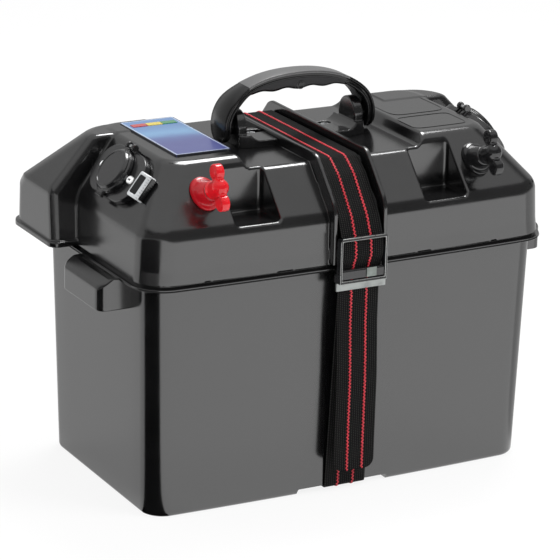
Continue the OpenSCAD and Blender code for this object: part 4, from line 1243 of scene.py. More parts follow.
@dataclass
class Strap:
    """Webbing of the hold-down strap: under the box, over the lid and the loose tail, with red stitching."""

    width: float = 38.0
    thick: float = 1.6
    lap: float = 1.1
    stripe: float = 7.0
    pitch: float = 3.0
    swing: float = 0.9
    thread: float = 0.5
    flat: float = 1.15
    proud: float = 0.28
    dip: float = 0.22
    step: float = 0.75
    ledge_y: float = 113.2
    rib_y: float = 116.3
    tail_low: float = 22.0
    tail_round: float = 8.0

    def over(self) -> Array:
        """Path over the lid as (y, z), from the buckle's cam to the ledge behind."""
        centre, brow = BOX.slope_y(BOX.centre_z), BOX.deck_z - 20
        deck = BOX.centre_z + self.lap + 0.25
        lower = self.ledge_y + self.lap
        corners = [
            (-116.2, 189.8),
            (-117.0, 195.5),
            (-117.3, 200.0),
            (-121.4, 208.0),
            (-120.8, 213.0),
            (-119.7, 222.0),
            (-self.rib_y + 0.5, 230.0),
            (-self.rib_y + 4, BOX.break_z - 2),
            (-BOX.slope_y(brow) - 7, brow + 0.5),
            (-centre - 1, deck),
            (-centre + 4, deck),
            (centre - 4, deck),
            (centre + 1, deck),
            (BOX.slope_y(brow) + 7, brow + 0.5),
            (self.rib_y + 2.2, BOX.break_z - 4),
            (lower + 1, BOX.height + 14),
            (lower, BOX.height + 1),
        ]
        return rounded_path(corners, self.step, 2.0)

    def under(self) -> Array:
        """Path under the tub as (y, z), from the buckle's anchor bar in front to the ledge behind."""
        out, low = BOX.half_y(0) + BOX.bow, BOX.foot - self.lap
        lower = self.ledge_y + self.lap
        corners = [
            (-lower, 189.7),
            (-lower, 184.0),
            (-out - self.lap - 0.9, BOX.foot + 6),
            (-out - self.lap - 0.7, BOX.foot),
            (-out - 0.7, low),
            (out + 0.7, low),
            (out + self.lap + 0.7, BOX.foot),
            (out + self.lap + 0.9, BOX.foot + 6),
            (lower, BOX.height - 8),
            (lower, BOX.height - 0.5),
        ]
        return rounded_path(corners, self.step, 0.6)

    def tail(self) -> Array:
        """Path of the loose tail as (y, z), hanging with a slight wave from the lip down."""
        z = np.arange(188.0, self.tail_low, -self.step)
        y = -116.2 + 0.25 * np.sin(z / 24.0)
        return np.stack([y, z], -1)

    def weave(
        self, name: str, path: Array, outside: int, shift: Array | float, half: Array | float, role: Role
    ) -> None:
        """One length of webbing with its two stitched stripes.

        Args:
            name: the piece's name.
            path: (n, 2) middle of the webbing as (y, z).
            outside: 1 if its outer face lies to the left of the path, seen from +X, and -1 if to the right.
            shift: sideways place of its middle, one or (n,).
            half: its half width, one or (n,).
            role: the webbing's role; the stitches share its body and slot.
        """
        shift, half = np.broadcast_to(shift, len(path)), np.broadcast_to(half, len(path))
        way = unit(np.gradient(path, axis=0))
        normal = outside * np.stack([-way[:, 1], way[:, 0]], -1)
        across = np.array([-1, -0.975, -0.5, 0, 0.5, 0.975, 1, 0.975, 0.5, 0, -0.5, -0.975])
        level = np.array([0, 1, 1, 1, 1, 1, 0, -1, -1, -1, -1, -1]) * self.thick / 2
        x = shift[:, None] + half[:, None] * across
        yz = path[:, None] + normal[:, None] * level[None, :, None]
        along = np.arange(len(path)) * self.step
        uv = np.stack([half[:, None] * across, np.broadcast_to(along[:, None], x.shape)], -1).reshape(-1, 2)
        uv = np.concatenate([uv, uv[:1], uv[-1:]])
        piece = make_piece(name, *capped_grid(np.concatenate([x[..., None], yz], -1)), role)
        layer = piece.data.uv_layers.new(name="weave")
        corner = np.zeros(len(piece.data.loops), np.int32)
        piece.data.loops.foreach_get("vertex_index", corner)
        layer.uv.foreach_set("vector", (uv[corner] * MM).astype(np.float32).ravel())
        outward(piece, 50)
        thread = Role(THREAD, role.body, role.slot)
        for side in Side:
            middle = shift + side.value * self.stripe
            self.stitches(f"{name}_stitches_{side.word}", path, normal, middle, along, thread)

    def stitches(self, name: str, path: Array, normal: Array, x: Array, along: Array, role: Role) -> None:
        """One stripe: a thread that swings from side to side in a triangle wave and dips at each turn.

        Args:
            name: the piece's name.
            path: (n, 2) middle of the webbing as (y, z).
            normal: (n, 2) direction of its outer face.
            x: (n,) middle of the stripe.
            along: (n,) length along the webbing.
            role: the thread's role.
        """
        wave = 2 * abs(2 * ((along / self.pitch) % 1) - 1) - 1
        lift = self.thick / 2 + self.proud - self.dip * abs(wave)
        middle = np.concatenate([(x + self.swing * wave)[:, None], path + normal * lift[:, None]], -1)
        out = np.concatenate([np.zeros((len(path), 1)), normal], -1)
        side = unit(np.cross(unit(np.gradient(middle, axis=0)), out))
        cosine, sine = turned(np.full(len(path), self.thread), 6)
        ring = side[:, None] * cosine[..., None] * self.flat + out[:, None] * sine[..., None]
        outward(make_piece(name, *capped_grid(middle[:, None] + ring), role))

    def build(self) -> None:
        """Lays the three lengths of webbing."""
        half, tail = self.width / 2, self.tail()
        z = tail[:, 1]
        drift = np.interp(z, [22, 27, 100, 150, 186], [0.4, 0.4, 0.6, -0.6, -0.3])
        round_in = np.clip(1 - (z - self.tail_low) / self.tail_round, 0, 1)
        narrow = half - 0.4 - self.tail_round * (1 - np.sqrt(np.maximum(1 - round_in**2, 0)))
        for name, path, outside, shift, wide, body, node in (
            ("strap_over", self.over(), 1, 0.0, half, "lid", "strap_upper"),
            ("strap_under", self.under(), -1, 0.5, half, "base", "strap_lower"),
            ("strap_tail", tail, -1, drift, narrow, "lid", "strap_tail"),
        ):
            self.weave(name, path, outside, shift, wide, Role(WEBBING, body, "webbing", (node,)))


# ---- buckle ----


@dataclass
class Buckle:
    """Open frame of the buckle with its anchor bar."""

    half: float = 21.5
    low: float = 186.0
    high: float = 224.0
    front: float = 123.3
    back: float = 116.8
    rail: float = 1.9
    bar: float = 2.5
    anchor_y: float = 113.5
    anchor_z: float = 190.0
    anchor_half: float = 0.9
    anchor_tall: float = 1.25
    foot: float = 3.2

    @property
    def middle(self) -> float:
        """Height of its middle."""
        return (self.low + self.high) / 2

    @property
    def tall(self) -> float:
        """Half its height."""
        return (self.high - self.low) / 2

    def field(self, x: Array, y: Array, z: Array) -> Array:
        """Rounded frame whose bars are shallow, with rails that reach back to the anchor bar at its foot."""
        side, end = abs(x) - self.half, abs(z - self.middle) - self.tall
        outer = rounded_and(side, end, 3.2)
        window = rounded_and(side + self.rail, end + self.bar, 1.2)
        bars = np.maximum(-self.front - y, y + self.front - self.bar)
        frame = rounded_and(rounded_and(outer, -window, 0.3), bars, 0.45)
        flank = np.maximum(-self.front - y, -self.rail - side)
        rails = np.maximum(np.maximum(flank, y + self.back), outer)
        foot = np.maximum(side, abs(z - self.low - self.foot) - self.foot)
        reach = np.maximum(np.maximum(flank, y + self.anchor_y), foot)
        half = (self.half, self.anchor_half, self.anchor_tall)
        anchor = box_field(x, y + self.anchor_y + half[1], z - self.anchor_z - half[2], half, 0.5)
        return np.minimum(np.minimum(frame, rails), np.minimum(reach, anchor))

    def build(self) -> None:
        """Meshes the frame."""
        # The frame's paint carries painted highlights along the edges of its front face.
        highlit = WornPaint("buckle_worn", -self.front, self.middle, self.half, self.tall, self.rail, self.bar)
        low = (-self.half - 1, -self.front - 1, self.low - 1)
        high = (self.half + 1, -self.anchor_y + 1, self.high + 1)
        role = Role(highlit, "lid", "buckle_black", ("buckle_frame",))
        field_piece("buckle", self.field, low, high, 0.42, role, keep=0.6)


# ---- handle ----

MIDDLE = 99.0  # stands for mid width in a section's list of insets
AXIS = 0.02  # radius that closes a turned form on its axis
@dataclass
class Handle:
    """Folding handle: arched frame with two arms, and a soft grip with a flat panel."""

    pivot_z: float = 291.0
    rise: float = 42.0
    half: float = 70.5
    thick: float = 7.0
    arm: float = 13.5
    band: float = 9.5
    grip: float = 47.0
    belly: float = 7.0
    power: float = 2.2
    hub_x0: float = 58.8
    hub_x1: float = 63.7
    hub: float = 7.0
    crown: float = 2.5
    panel_low: float = 5.4
    panel_rim: float = 2.6
    seam_gap: float = 0.15
    waves: int = 4
    wave: float = 0.9
    mark_x: float = 1.2
    mark_z: float = 321.6

    def arch(self, turn: Array, inset: float) -> tuple[Array, Array]:
        """Superellipse drawn in by inset: sine and cosine raised to 2 over the power."""
        c, s = np.cos(turn), np.maximum(np.sin(turn), 0)
        share = 2 / self.power
        x = (self.half - inset) * np.sign(c) * abs(c) ** share
        return x, self.pivot_z + (self.rise - inset) * s**share

    def half_width(self, z: Array) -> Array:
        """Half width across Y at a height: full over the arms, narrow over the band."""
        share = np.clip((z - self.pivot_z - 0.45 * self.rise) / (0.35 * self.rise), 0, 1)
        share = share * share * (3 - 2 * share)
        return self.arm + (self.band - self.arm) * share

    def arms(self, side: Side) -> None:
        """One arm from its round foot up to the seam, its front and back grooved between rim and roll."""
        turn = np.linspace(0, math.acos((self.grip / self.half) ** (self.power / 2)), 26)
        fall = self.arm * np.sin(np.linspace(math.pi / 2, 0, 12))[:-1]
        foot = self.pivot_z - fall
        outer_x, outer_z = self.arch(turn, 0.0)
        inner_x, inner_z = self.arch(turn, self.thick)
        outer_x, outer_z = np.r_[foot * 0 + self.half, outer_x], np.r_[foot, outer_z]
        inner_x, inner_z = np.r_[foot * 0 + self.half - self.thick, inner_x], np.r_[foot, inner_z]
        half = np.minimum(self.half_width((outer_z + inner_z) / 2), self.arm)
        half[: len(foot)] = np.sqrt(np.maximum(self.arm**2 - fall**2, 0.6))
        share = np.array([0, 0, 0.4, 1.3, 2.2, 2.7, 4.0, 4.3, 4.8, 5.5, 6.3, 7, 7]) / self.thick
        drop = np.array([MIDDLE, 2.2, 1.2, 0.8, 1.2, 2.0, 2.0, 0.8, 0.15, 0, 0.3, 1.3, MIDDLE])
        y = np.where(drop == MIDDLE, 0, np.maximum(half[:, None] - drop, 0.02))
        x = side.value * (inner_x[:, None] + share * (outer_x - inner_x)[:, None])
        z = inner_z[:, None] + share * (outer_z - inner_z)[:, None]
        shell = Role(HANDLE_PLASTIC, "handle", "handle_plastic", ("handle_frame",) if side is Side.LEFT else ())
        points, faces = capped_grid(closed_sections(x, y, z))
        outward(make_piece(f"handle_arm_{side.word}", points, faces, shell), 50)
        y, z = turned(np.array([AXIS, self.hub, self.hub, AXIS]), 32)
        x = side.value * np.array([self.hub_x0, self.hub_x0, self.hub_x1, self.hub_x1])
        rings = np.stack([np.broadcast_to(x[:, None], y.shape), y, self.pivot_z + z], -1)
        inside = Role(HANDLE_PLASTIC, "handle", "handle_plastic")
        outward(make_piece(f"handle_hub_{side.word}", *capped_grid(rings), inside), 35)

    def underside(self, x: Array) -> Array:
        """Height of the grip's underside: the inner arch, a belly and four finger waves."""
        u = x / self.grip
        inner = self.half - self.thick
        arch = (self.rise - self.thick) * np.maximum(1 - (abs(x) / inner) ** self.power, 0) ** (1 / self.power)
        waves = self.wave * (1 - u**4) * (1 + np.cos(self.waves * math.pi * u))
        return self.pivot_z + arch - self.belly * (1 - u * u) - waves

    def grip_pieces(self) -> None:
        """Grip between the seams: a crown that carries the band on, a dark body and a flat grey panel."""
        end = self.grip - self.seam_gap
        x = np.linspace(-end, end, 121)
        top = self.pivot_z + self.rise * (1 - (abs(x) / self.half) ** self.power) ** (1 / self.power)
        tall = (top - self.underside(x))[:, None]
        half = self.half_width(top - self.thick / 2)
        drop = np.array([0, 0, 0.3, 1.2, 2.1, self.crown, self.crown])
        inset = np.array([MIDDLE, 1.6, 0.4, 0, 0.1, 1.0, MIDDLE])
        self.swept("grip_crown", x, top, half, drop, inset, Role(GRIP_CROWN, "handle", "handle_plastic"))
        upper = np.broadcast_to([2.4, 2.4, 4.6, 4.8], (len(x), 4))
        drop = np.minimum(np.concatenate([upper, tall - [2.4, 0.8, 0.4, 0.4]], 1), tall)
        inset = np.array([MIDDLE, 1.9, 1.9, 0.9, 0.9, 1.4, 3.2, MIDDLE])
        body = Role(HANDLE_PLASTIC, "handle", "grip_plastic", ("handle_grip",))
        self.swept("grip_body", x, top, half, drop, inset, body)
        inner, top, half, tall = x[3:-3], top[3:-3], half[3:-3], tall[3:-3]
        ends = np.clip((self.grip - 1.2 - abs(inner)) / 3.0, 0, 1)[:, None]
        free = np.maximum(tall - self.panel_low - self.panel_rim, 0.5)
        room = free * np.sqrt(np.maximum(1 - (1 - ends) ** 2, 0.04))
        drop = (free - room) / 2 + room * np.array([0, 0, 0.04, 0.96, 1, 1])
        inset = np.array([MIDDLE, 0.95, 0.45, 0.45, 0.95, MIDDLE])
        panel = Role(GRIP_PLASTIC, "handle", "grip_plastic")
        self.swept("grip_panel", inner, top - self.panel_low, half, drop, inset, panel)

    def swept(self, name: str, x: Array, top: Array, half: Array, drop: Array, inset: Array, role: Role) -> None:
        """Sweeps a section along X, the same in front and behind.

        Args:
            name: the piece's name.
            x: (n,) places along X.
            top: (n,) heights from which the section hangs.
            half: (n,) half widths.
            drop: depths of its points below the top, (k,) or (n, k).
            inset: (k,) their distances from the half width, or MIDDLE for mid width.
            role: the piece's role.
        """
        y = np.where(inset == MIDDLE, 0, half[:, None] - inset)
        z = top[:, None] - np.broadcast_to(drop, y.shape)
        rings = closed_sections(np.broadcast_to(x[:, None], y.shape), y, z)
        outward(make_piece(name, *capped_grid(rings), role), 42)

    def disc(self) -> None:
        """Plain round mark pressed on the panel: a thin ring with a flat middle."""
        out = np.array([0.02, 0.02, 0.16, 0.16, 0.04, -0.3])
        x, z = turned(np.array([AXIS, 2.6, 2.9, 3.4, 3.7, 3.8]), 40)
        y = np.broadcast_to(-(self.band - 0.45 + out)[:, None], x.shape)
        rings = np.stack([self.mark_x + x, y, self.mark_z + z], -1)
        outward(make_piece("grip_mark", *capped_grid(rings), Role(HANDLE_PLASTIC, "handle", "grip_plastic")), 50)

    def build(self) -> None:
        """Makes both arms, the grip and its mark."""
        for side in Side:
            self.arms(side)
        self.grip_pieces()
        self.disc()


# ---- terminals ----


@dataclass
class Terminal:
    """Terminal on the front slope: a flanged base, and a wing knob with a hub and two ears."""

    x: float = 125.0
    z: float = 264.0
    tilt: float = 25.0
    flange_long: float = 14.25
    flange_wide: float = 10.0
    flange_thick: float = 3.6
    cone_low: float = -8.0
    cone_high: float = 16.0
    cone_foot: float = 14.0
    cone_top: float = 7.5
    knob_low: float = 18.25
    foot: float = 8.0
    foot_high: float = 3.0
    wing: float = 30.0
    hub: float = 7.0
    ear_out: float = 12.4
    ear: float = 6.6
    ear_half: float = 3.75
    web_half: float = 3.2
    web_tall: float = 3.5
    groove_in: float = 1.8
    groove: float = 0.35

    def base(self, x: Array, y: Array, z: Array) -> Array:
        """Flange on the slope that runs up in a hollow curve to a cone."""
        lean = BOX.slope_angle + math.radians(self.tilt) - math.pi / 2
        out = z * math.cos(lean) - y * math.sin(lean)
        reach = self.flange_long - self.flange_wide
        plan = np.hypot(x, y - np.clip(y, -reach, reach)) - self.flange_wide
        flange = rounded_and(plan, out - self.flange_thick, 1.6)
        taper = (self.cone_foot - self.cone_top) / (self.cone_high - self.cone_low)
        radius = self.cone_foot - (z - self.cone_low) * taper
        cone = rounded_and((np.hypot(x, y) - radius) * 0.965, z - self.cone_high, 1.2)
        both = rounded_or(flange, cone, 2.0)
        return np.maximum(both, 0.2 - out)

    def knob(self, x: Array, y: Array, z: Array) -> Array:
        """Flared foot, hub with a domed end, and two thick round ears joined by a web."""
        around = np.hypot(x, y)
        rise = z - self.knob_low
        foot = around - self.foot + np.clip(rise / self.foot_high, 0, 1)
        foot = rounded_and(foot, rise - self.foot_high, 0.8)
        shaft = np.maximum(around - self.hub, z - self.wing)
        dome = np.sqrt(around**2 + (z - self.wing) ** 2) - self.hub
        hub = rounded_or(foot, np.minimum(shaft, dome), 1.0)
        disc = np.hypot(abs(y) - self.ear_out, z - self.wing) - self.ear
        ears = rounded_and(disc, abs(x) - self.ear_half, 1.6)
        web = rounded_and(abs(x) - self.web_half, abs(z - self.wing + 0.5) - self.web_tall, 1.4)
        ears = rounded_or(ears, rounded_and(web, abs(y) - self.ear_out, 1.0), 1.2)
        groove = np.maximum(abs(disc + self.groove_in) - self.groove, self.ear_half - self.groove - abs(x))
        ears = rounded_and(ears, -groove, 0.15)
        return np.maximum(rounded_or(hub, ears, 1.6), self.knob_low - z)

    def build(self, side: Side, word: str, finish: Finish, base_finish: Finish, slot: str) -> None:
        """Meshes base and knob of one terminal.

        Args:
            side: the side that it stands on.
            word: colour in the nodes' names.
            finish: the finish of the knob.
            base_finish: the finish of the base.
            slot: the record's material slot.
        """
        turn = Matrix.Rotation(math.radians(90 - self.tilt), 3, "X")
        place = placing((side.value * self.x, -BOX.slope_y(self.z) - 0.6, self.z), turn)
        base = Role(base_finish, "lid", slot, (f"{word}_terminal_base",))
        wings = Role(finish, f"{word}_knob", slot, (f"{word}_wing_knob",))
        field_piece(f"{word}_base", self.base, (-16, -19, -9), (16, 19, 18), 0.7, base, place, 0.6)
        field_piece(f"{word}_wings", self.knob, (-10, -21, 17), (10, 21, 39), 0.6, wings, place, 0.6)


# ---- sockets and breaker ----


@dataclass
class Socket:
    """Capped 12 volt socket on an end slope: plate, hinged cap and rivets."""

    y: float = -16.0
    z: float = 265.0
    long: float = 38.5
    wide: float = 21.5
    thick: float = 6.0
    hinge_x: float = -23.5
    hinge_z: float = 7.5
    rivet: float = 24.8
    cap_low: float = 6.3
    cap_high: float = 13.3
    bore: float = 11.0
    ear: float = 3.2
    ear_y0: float = 3.5
    ear_y1: float = 6.5
    face: float = 14.9
    face_deep: float = 0.5
    knuckle: float = 3.4
    pull_x: float = 20.0
    pull_end: float = 24.0
    pull_rib: float = 2.0

    def place(self, side: Side) -> Place:
        """Placing of a socket's own frame: X down the slope, Z out of it."""
        turn = Matrix.Rotation(BOX.end_angle, 3, "Y")
        return placing((float(BOX.slope_x(self.z)), self.y, self.z), turn, side)

    def plate(self, x: Array, y: Array, z: Array) -> Array:
        """Obround plate with two hinge ears and a ring round the socket."""
        straight = self.long - self.wide
        plan = np.hypot(x, y - np.clip(y, -straight, straight)) - self.wide
        slab = rounded_and(plan, np.maximum(z - self.thick, 0.1 - z), 0.9)
        at_hinge = x - self.hinge_x, z - self.hinge_z
        ears = rod_field(*at_hinge, abs(y), self.ear, self.ear_y0, self.ear_y1, 0.6)
        stand = box_field(x + self.wide + 0.4, abs(y) - 5.0, z - 4.2, (2.2, 1.5, 3.4), 0.6)
        both = rounded_or(slab, np.minimum(ears, stand), 0.8)
        return np.maximum(both, self.bore - np.hypot(x, y))

    def cap_field(self, x: Array, y: Array, z: Array) -> Array:
        """Cap: a flat face with a rim, a conical side with one groove, a knuckle, a neck and a pull tab."""
        around = np.hypot(x, y)
        side = around - np.interp(z, [6.3, 9.6, 10.4, 11.2, 13.3], [20.0, 19.6, 18.0, 18.2, 16.6])
        disc = rounded_and(side * 0.9, np.maximum(z - self.cap_high, self.cap_low - z), 0.7)
        face = np.maximum(around - self.face, self.cap_high - self.face_deep - z)
        disc = rounded_and(disc, -face, 0.3)
        ball = np.sqrt((x - self.hinge_x - 0.4) ** 2 + y**2 + (z - self.hinge_z) ** 2) - self.knuckle
        neck = box_field(x + 19.5, y, z - 9.0, (4.5, 2.7, 1.5), 0.9)
        pull = box_field(x - self.pull_x, y, z - 7.9, (4.0, 5.0, 1.5), 0.8)
        ribs = np.maximum(pull - 0.5, abs(((x - self.pull_x) % self.pull_rib) - self.pull_rib / 2) - 0.5)
        arm = np.minimum(rounded_or(ball, neck, 1.0), np.minimum(pull, ribs))
        whole = rounded_or(disc, arm, 0.8)
        return np.maximum(whole, np.maximum(x - self.pull_end, self.cap_low - z) * np.where(x > -21, 1, 0))

    def rivets(self, side: Side) -> None:
        """White ring heads with dark middles, a little longer along Y than across."""
        head_r = np.array([1.45, 1.5, 2.0, 3.2, 3.8, 3.9, 3.9, 1.45])
        head_z = np.array([6.1, 7.0, 7.3, 7.3, 6.9, 6.4, 6.05, 6.05])
        hole_r, hole_z = np.array([AXIS, 1.5, 1.5, AXIS]), np.array([6.5, 6.5, 6.05, 6.05])
        head, hole = Role(RIVET_WHITE, "lid", "rivet_metal"), Role(SOCKET_PLASTIC, "lid", "socket_plastic")
        for k, at in enumerate((-self.rivet, self.rivet)):
            for kind, r, z, role in (("head", head_r, head_z, head), ("hole", hole_r, hole_z, hole)):
                x = turned(r * np.interp(r, [1.5, 2.4], [0.5, 0.86]), 24)[0]
                y = at + turned(r, 24)[1] * 1.15
                rings = np.stack([x, y, np.broadcast_to(z[:, None], x.shape)], -1)
                points, faces = capped_grid(rings, kind == "head")
                outward(make_piece(f"{side.word}_rivet_{kind}_{k}", self.place(side)(points), faces, role), 50)

    def build(self) -> None:
        """Meshes both ends."""
        for side in Side:
            word, place = side.word, self.place(side)
            plate = Role(SOCKET_PLASTIC, "lid", "socket_plastic", (f"{word}_socket_plate",))
            cap = Role(SOCKET_PLASTIC, f"{word}_cap", "socket_plastic", (f"{word}_socket_cap",))
            field_piece(f"{word}_plate", self.plate, (-28, -40, -1), (23, 40, 12), 0.8, plate, place, 0.5)
            field_piece(f"{word}_cap_top", self.cap_field, (-28, -21, 4), (25, 21, 15), 0.6, cap, place, 0.5)
            self.rivets(side)


@dataclass
class Breaker:
    """Breaker beside the left socket plate, in the socket's own frame."""

    middle: float = -44.55
    half_x: float = 11.0
    half_y: float = 5.75
    half_z: float = 5.6
    face_y: float = -40.9
    face_z: float = 11.0
    face_fall: float = 0.5
    window_y: float = -43.6
    window_x: float = 8.2
    window_half: float = 3.1
    bar_room: float = 9.8
    stem_room: float = 2.0

    def face(self, y: Array, z: Array) -> Array:
        """Distance out of the sloping face."""
        return (z - self.face_z + (self.face_y - y) * self.face_fall) * 0.894

    def opening(self, x: Array, y: Array, gap: float) -> Array:
        """Plan of the window, drawn in by a gap."""
        plan = abs(x) - self.window_x + gap, abs(y - self.window_y) - self.window_half + gap
        return rounded_and(*plan, 1.2)

    def housing(self, x: Array, y: Array, z: Array) -> Array:
        """Sloping clear face with a sunk window, fine grooves and room for the reset bar and its stem."""
        block = box_field(x, y - self.middle, z - 5.4, (self.half_x, self.half_y, self.half_z), 1.6)
        fall = self.face(y, z)
        block = rounded_and(block, fall, 1.4)
        block = rounded_and(block, -np.maximum(self.opening(x, y, 0.0), -0.8 - fall), 0.35)
        slot = np.maximum(np.maximum(abs(x) - self.bar_room, y + 44.0), z - 5.2)
        slot = np.minimum(slot, np.maximum(np.hypot(x, z - 2.5) - self.stem_room, y + 40.3))
        grooves = np.maximum(abs(((x + 1.2) % 2.4) - 1.2) - 0.3, np.maximum(abs(y + 49.4) - 0.9, 5.6 - z))
        return np.maximum(np.maximum(block, -grooves), -slot)

    def window(self, x: Array, y: Array, z: Array) -> Array:
        """Dark pane in the sunk window."""
        return rounded_and(self.opening(x, y, 0.1), abs(self.face(y, z) + 0.75) - 0.3, 0.15)

    def build(self, place: Place) -> None:
        """Meshes housing and window in the socket's frame."""
        clear = Role(CLEAR_PLASTIC, "lid", "clear_plastic", ("breaker_housing",))
        dark = Role(SMOKED_PLASTIC, "lid", "clear_plastic")
        field_piece("breaker", self.housing, (-12, -51, -1), (12, -38, 12), 0.35, clear, place, 0.6)
        field_piece("breaker_window", self.window, (-9, -48, 4), (9, -39, 12), 0.3, dark, place, 0.4)


# ---- outlines on the right deck ----


@dataclass
class DeckPanel:
    """Shallow outline on the right high deck, a plain raised bead along a rounded rectangle."""

    name: str
    corners: tuple
    height: float = 0.35
    wide: float = 0.9

    def build(self) -> None:
        """Sweeps a low bead round the outline."""
        corners = np.array(self.corners)
        loop = np.concatenate([corners, corners[:1]])
        path = np.concatenate([np.linspace(a, b, 12, endpoint=False) for a, b in zip(loop[:-1], loop[1:])])
        for _ in range(4):
            path = 0.5 * path + 0.25 * (np.roll(path, 1, 0) + np.roll(path, -1, 0))
        way = unit(np.roll(path, -1, 0) - np.roll(path, 1, 0))
        side = np.stack([way[:, 1], -way[:, 0]], -1)
        across = np.array([-0.5, -0.3, 0.3, 0.5, 0.5, -0.5]) * self.wide
        level = BOX.deck_z + np.array([0.0, 1.0, 1.0, 0.0, -0.8, -0.8]) * self.height
        xy = path[:, None] + side[:, None] * across[None, :, None]
        z = np.broadcast_to(level, (len(path), len(level)))[..., None]
        points, faces = capped_grid(np.concatenate([xy, z], -1), True)
        outward(make_piece(self.name, points, faces, Role(BOX_PLASTIC, "lid", "box_plastic")), 60)


# ---- studio ----

WHITE = (1, 1, 1, 1)
@dataclass
class Studio:
    """White floor, soft lights and the camera of the photograph."""

    azimuth: float = -28.60
    elevation: float = 18.27
    roll: float = 1.35
    distance: float = 2476.6
    aim: tuple = (-9.08, 0.0, 151.72)
    lens: float = 190.0
    floor_half: float = 6000.0
    flag_x: float = -152.0
    flag_y: float = -88.0
    flag_reach: float = 2500.0
    lamp_aim: tuple = (0.0, 0.0, 150.0)

    def camera(self) -> None:
        """Puts the camera where the photograph was taken from."""
        az, el, roll = (math.radians(a) for a in (self.azimuth, self.elevation, self.roll))
        back = Vector((math.sin(az) * math.cos(el), -math.cos(az) * math.cos(el), math.sin(el)))
        right = (-back).cross(Vector((0, 0, 1))).normalized()
        up = right.cross(-back)
        side = right * math.cos(roll) + up * math.sin(roll)
        top = up * math.cos(roll) - right * math.sin(roll)
        turn = Matrix((side, top, back)).transposed().to_4x4()
        data = bpy.data.cameras.new("camera")
        data.lens = self.lens
        data.sensor_width = 36.0
        data.clip_end = 50.0
        camera = linked("camera", data)
        camera.matrix_world = Matrix.Translation((Vector(self.aim) + back * self.distance) * MM) @ turn
        bpy.context.scene.camera = camera

    def flat(self, name: str, corners: Sequence[Sequence[float]], material: bpy.types.Material) -> bpy.types.Object:
        """One flat stage piece.

        Args:
            name: its name.
            corners: its corners in order, in millimetres.
            material: its material.

        Returns:
            The object.
        """
        mesh = bpy.data.meshes.new(name)
        mesh.from_pydata([tuple(c * MM for c in corner) for corner in corners], [], [tuple(range(len(corners)))])
        mesh.materials.append(material)
        made = linked(name, mesh)
        return made

    def floor(self) -> None:
        """White floor: it takes a faint shadow, and camera, gloss and glass see it white.

        In gloss it is palest in front and on the right, but for a dark patch by the right upright corner.
        """
        material, tree = new_tree("floor_white")
        x, y, _ = tree.place()
        right = ((x - 178.0) + (y + 97.0) * 1.3).steps(0.0, 60.0) * x.steps(150.0, 200.0)
        level = 1.0 + tree.rays("Glossy") * ((x - y).steps(-170.0, -10.0) * 0.52 - 0.25 - right * 0.6)
        seen = tree.rays("Camera", "Glossy", "Transmission").maths("MINIMUM", 1.0)
        lit = tree.node("ShaderNodeBsdfDiffuse", sockets={"Color": (0.85, 0.85, 0.85, 1)})
        white = tree.node("ShaderNodeEmission", sockets={"Color": WHITE, "Strength": level})
        tree.end("ShaderNodeMixShader", {0: seen * 0.86, 1: lit.outputs[0], 2: white.outputs[0]})
        h = self.floor_half
        self.flat("floor", [(-h, -h, 0), (h, -h, 0), (h, h, 0), (-h, h, 0)], material)

    def flag(self) -> None:
        """Black card on the floor, seen only in gloss: it darkens the upright corner nearest the camera."""
        material, tree = new_tree("flag_black")
        tree.end("ShaderNodeEmission", {"Color": (0, 0, 0, 1), "Strength": 0.0})
        corners = [(self.flag_x, self.flag_y, 1.0)]
        for turn in np.radians(np.linspace(-36, -112, 9)):
            out_x, out_y = self.flag_reach * math.sin(turn), -self.flag_reach * math.cos(turn)
            corners.append((self.flag_x + out_x, self.flag_y + out_y, 1.0))
        card = self.flat("flag_left", corners, material)
        for sight in ("visible_camera", "visible_diffuse", "visible_shadow", "visible_transmission"):
            setattr(card, sight, False)

    def world(self) -> None:
        """Surroundings: white to the camera; in gloss a bright back and top and a dark room in front."""
        world = bpy.data.worlds.new("studio")
        world.use_nodes = True
        bpy.context.scene.world = world
        tree = Tree(world.node_tree)
        dx, dy, dz = tree.split(tree.node("ShaderNodeTexCoord").outputs["Generated"])
        behind = dy.steps(0.05, 0.4) * (dx.steps(-0.6, 0.5) * 0.06 + 0.46)
        above = dz.steps(0.55, 0.78) * 0.62
        studio = behind.maths("MAXIMUM", above).maths("MAXIMUM", 0.13)
        gloss = tree.rays("Glossy")
        level = (studio * gloss + (1 - gloss) * 0.75).maths("MAXIMUM", tree.rays("Camera", "Transmission"))
        tree.end("ShaderNodeBackground", {"Color": WHITE, "Strength": level}, "ShaderNodeOutputWorld")

    def lamp(self, name: str, place: Sequence[float], size: float, watts: float, gloss: bool) -> None:
        """Square soft light aimed at the object.

        Args:
            name: the light's name.
            place: where it hangs, in millimetres.
            size: its side in millimetres.
            watts: its power.
            gloss: whether glossy surfaces show it.
        """
        data = bpy.data.lights.new(name, "AREA")
        data.size = size * MM
        data.energy = watts
        lamp = linked(name, data)
        aim, where = Vector(self.lamp_aim) * MM, Vector(place) * MM
        lamp.location = where
        lamp.rotation_euler = (aim - where).to_track_quat("-Z", "Y").to_euler()
        lamp.visible_glossy = gloss

    def build(self) -> None:
        """Sets the whole studio; each lamp has its place, size in millimetres, watts and whether gloss sees it."""
        self.camera()
        self.floor()
        self.flag()
        self.world()
        for lamp in (
            ("light_top", (500, 500, 1800), 700, 22.0, True),
            ("light_key", (1100, -1300, 1500), 900, 24.0, False),
            ("light_left", (-1700, -300, 900), 900, 10.0, False),
        ):
            self.lamp(*lamp)
        bpy.context.scene.view_settings.view_transform = "Standard"


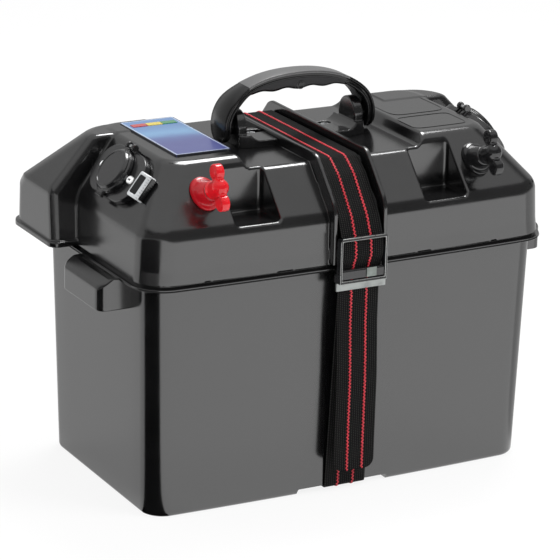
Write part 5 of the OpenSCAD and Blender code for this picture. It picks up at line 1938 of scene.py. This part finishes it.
def dress_nodes(frame: dict) -> None:
    """Gives every CAD node the finish of its material slot, whether it is shown or stood for.
    """
    finishes = {
        "box_plastic": BOX_PLASTIC,
        "handle_plastic": HANDLE_PLASTIC,
        "grip_plastic": GRIP_PLASTIC,
        "webbing": BOX_PLASTIC,
        "buckle_black": KNOB_PLASTIC,
        "bright_steel": BRIGHT_STEEL,
        "brass": BRASS,
        "red_plastic": RED_PLASTIC,
        "knob_plastic": KNOB_PLASTIC,
        "socket_plastic": SOCKET_PLASTIC,
        "rivet_metal": RIVET_METAL,
        "clear_plastic": CLEAR_PLASTIC,
        "meter_face": LabelFace("meter_face_blue", -107.5, 4.0, 24.5, 53.0),
        "lens_red": Lens("lens_red_tint", (0.55, 0.03, 0.03)),
        "lens_amber": Lens("lens_amber_tint", (0.80, 0.62, 0.06)),
        "lens_green": Lens("lens_green_tint", (0.03, 0.26, 0.09)),
        "circuit_board": BOARD_GREEN,
    }
    made = {slot: finish.material() for slot, finish in finishes.items()}
    # The buckle lip takes grey metal, a painted highlight.
    own = {"buckle_lip": LIP_HIGHLIGHT_METAL.material(), "cam_plate": PLATE_STEEL.material()}
    for row in frame["record"]["subparts"]:
        node = frame["nodes"][row["node"]]
        node.data.materials.clear()
        node.data.materials.append(own.get(row["node"], made[row["material_slot"]]))


def main() -> None:
    """Builds every sub-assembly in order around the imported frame."""
    logging.basicConfig(level=logging.INFO, format="%(message)s")
    for thing in list(bpy.data.objects):
        bpy.data.objects.remove(thing)
    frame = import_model()
    Studio().build()
    dress_nodes(frame)
    Tub().build()
    Lid().build()
    HandleBlock().build()
    Strap().build()
    Buckle().build()
    Handle().build()
    Terminal().build(Side.LEFT, "red", RED_PLASTIC, RED_SHADED_BASE, "red_plastic")
    Terminal().build(Side.RIGHT, "black", KNOB_PLASTIC, KNOB_PLASTIC, "knob_plastic")
    Socket().build()
    Breaker().build(Socket().place(Side.LEFT))
    DeckPanel("deck_panel_front", ((86, -18), (136.5, -18), (136.5, -53), (86, -53))).build()
    DeckPanel("deck_panel_back", ((90, 60), (141, 60), (141, -10), (90, -10))).build()


if __name__ == "__main__":
    main()
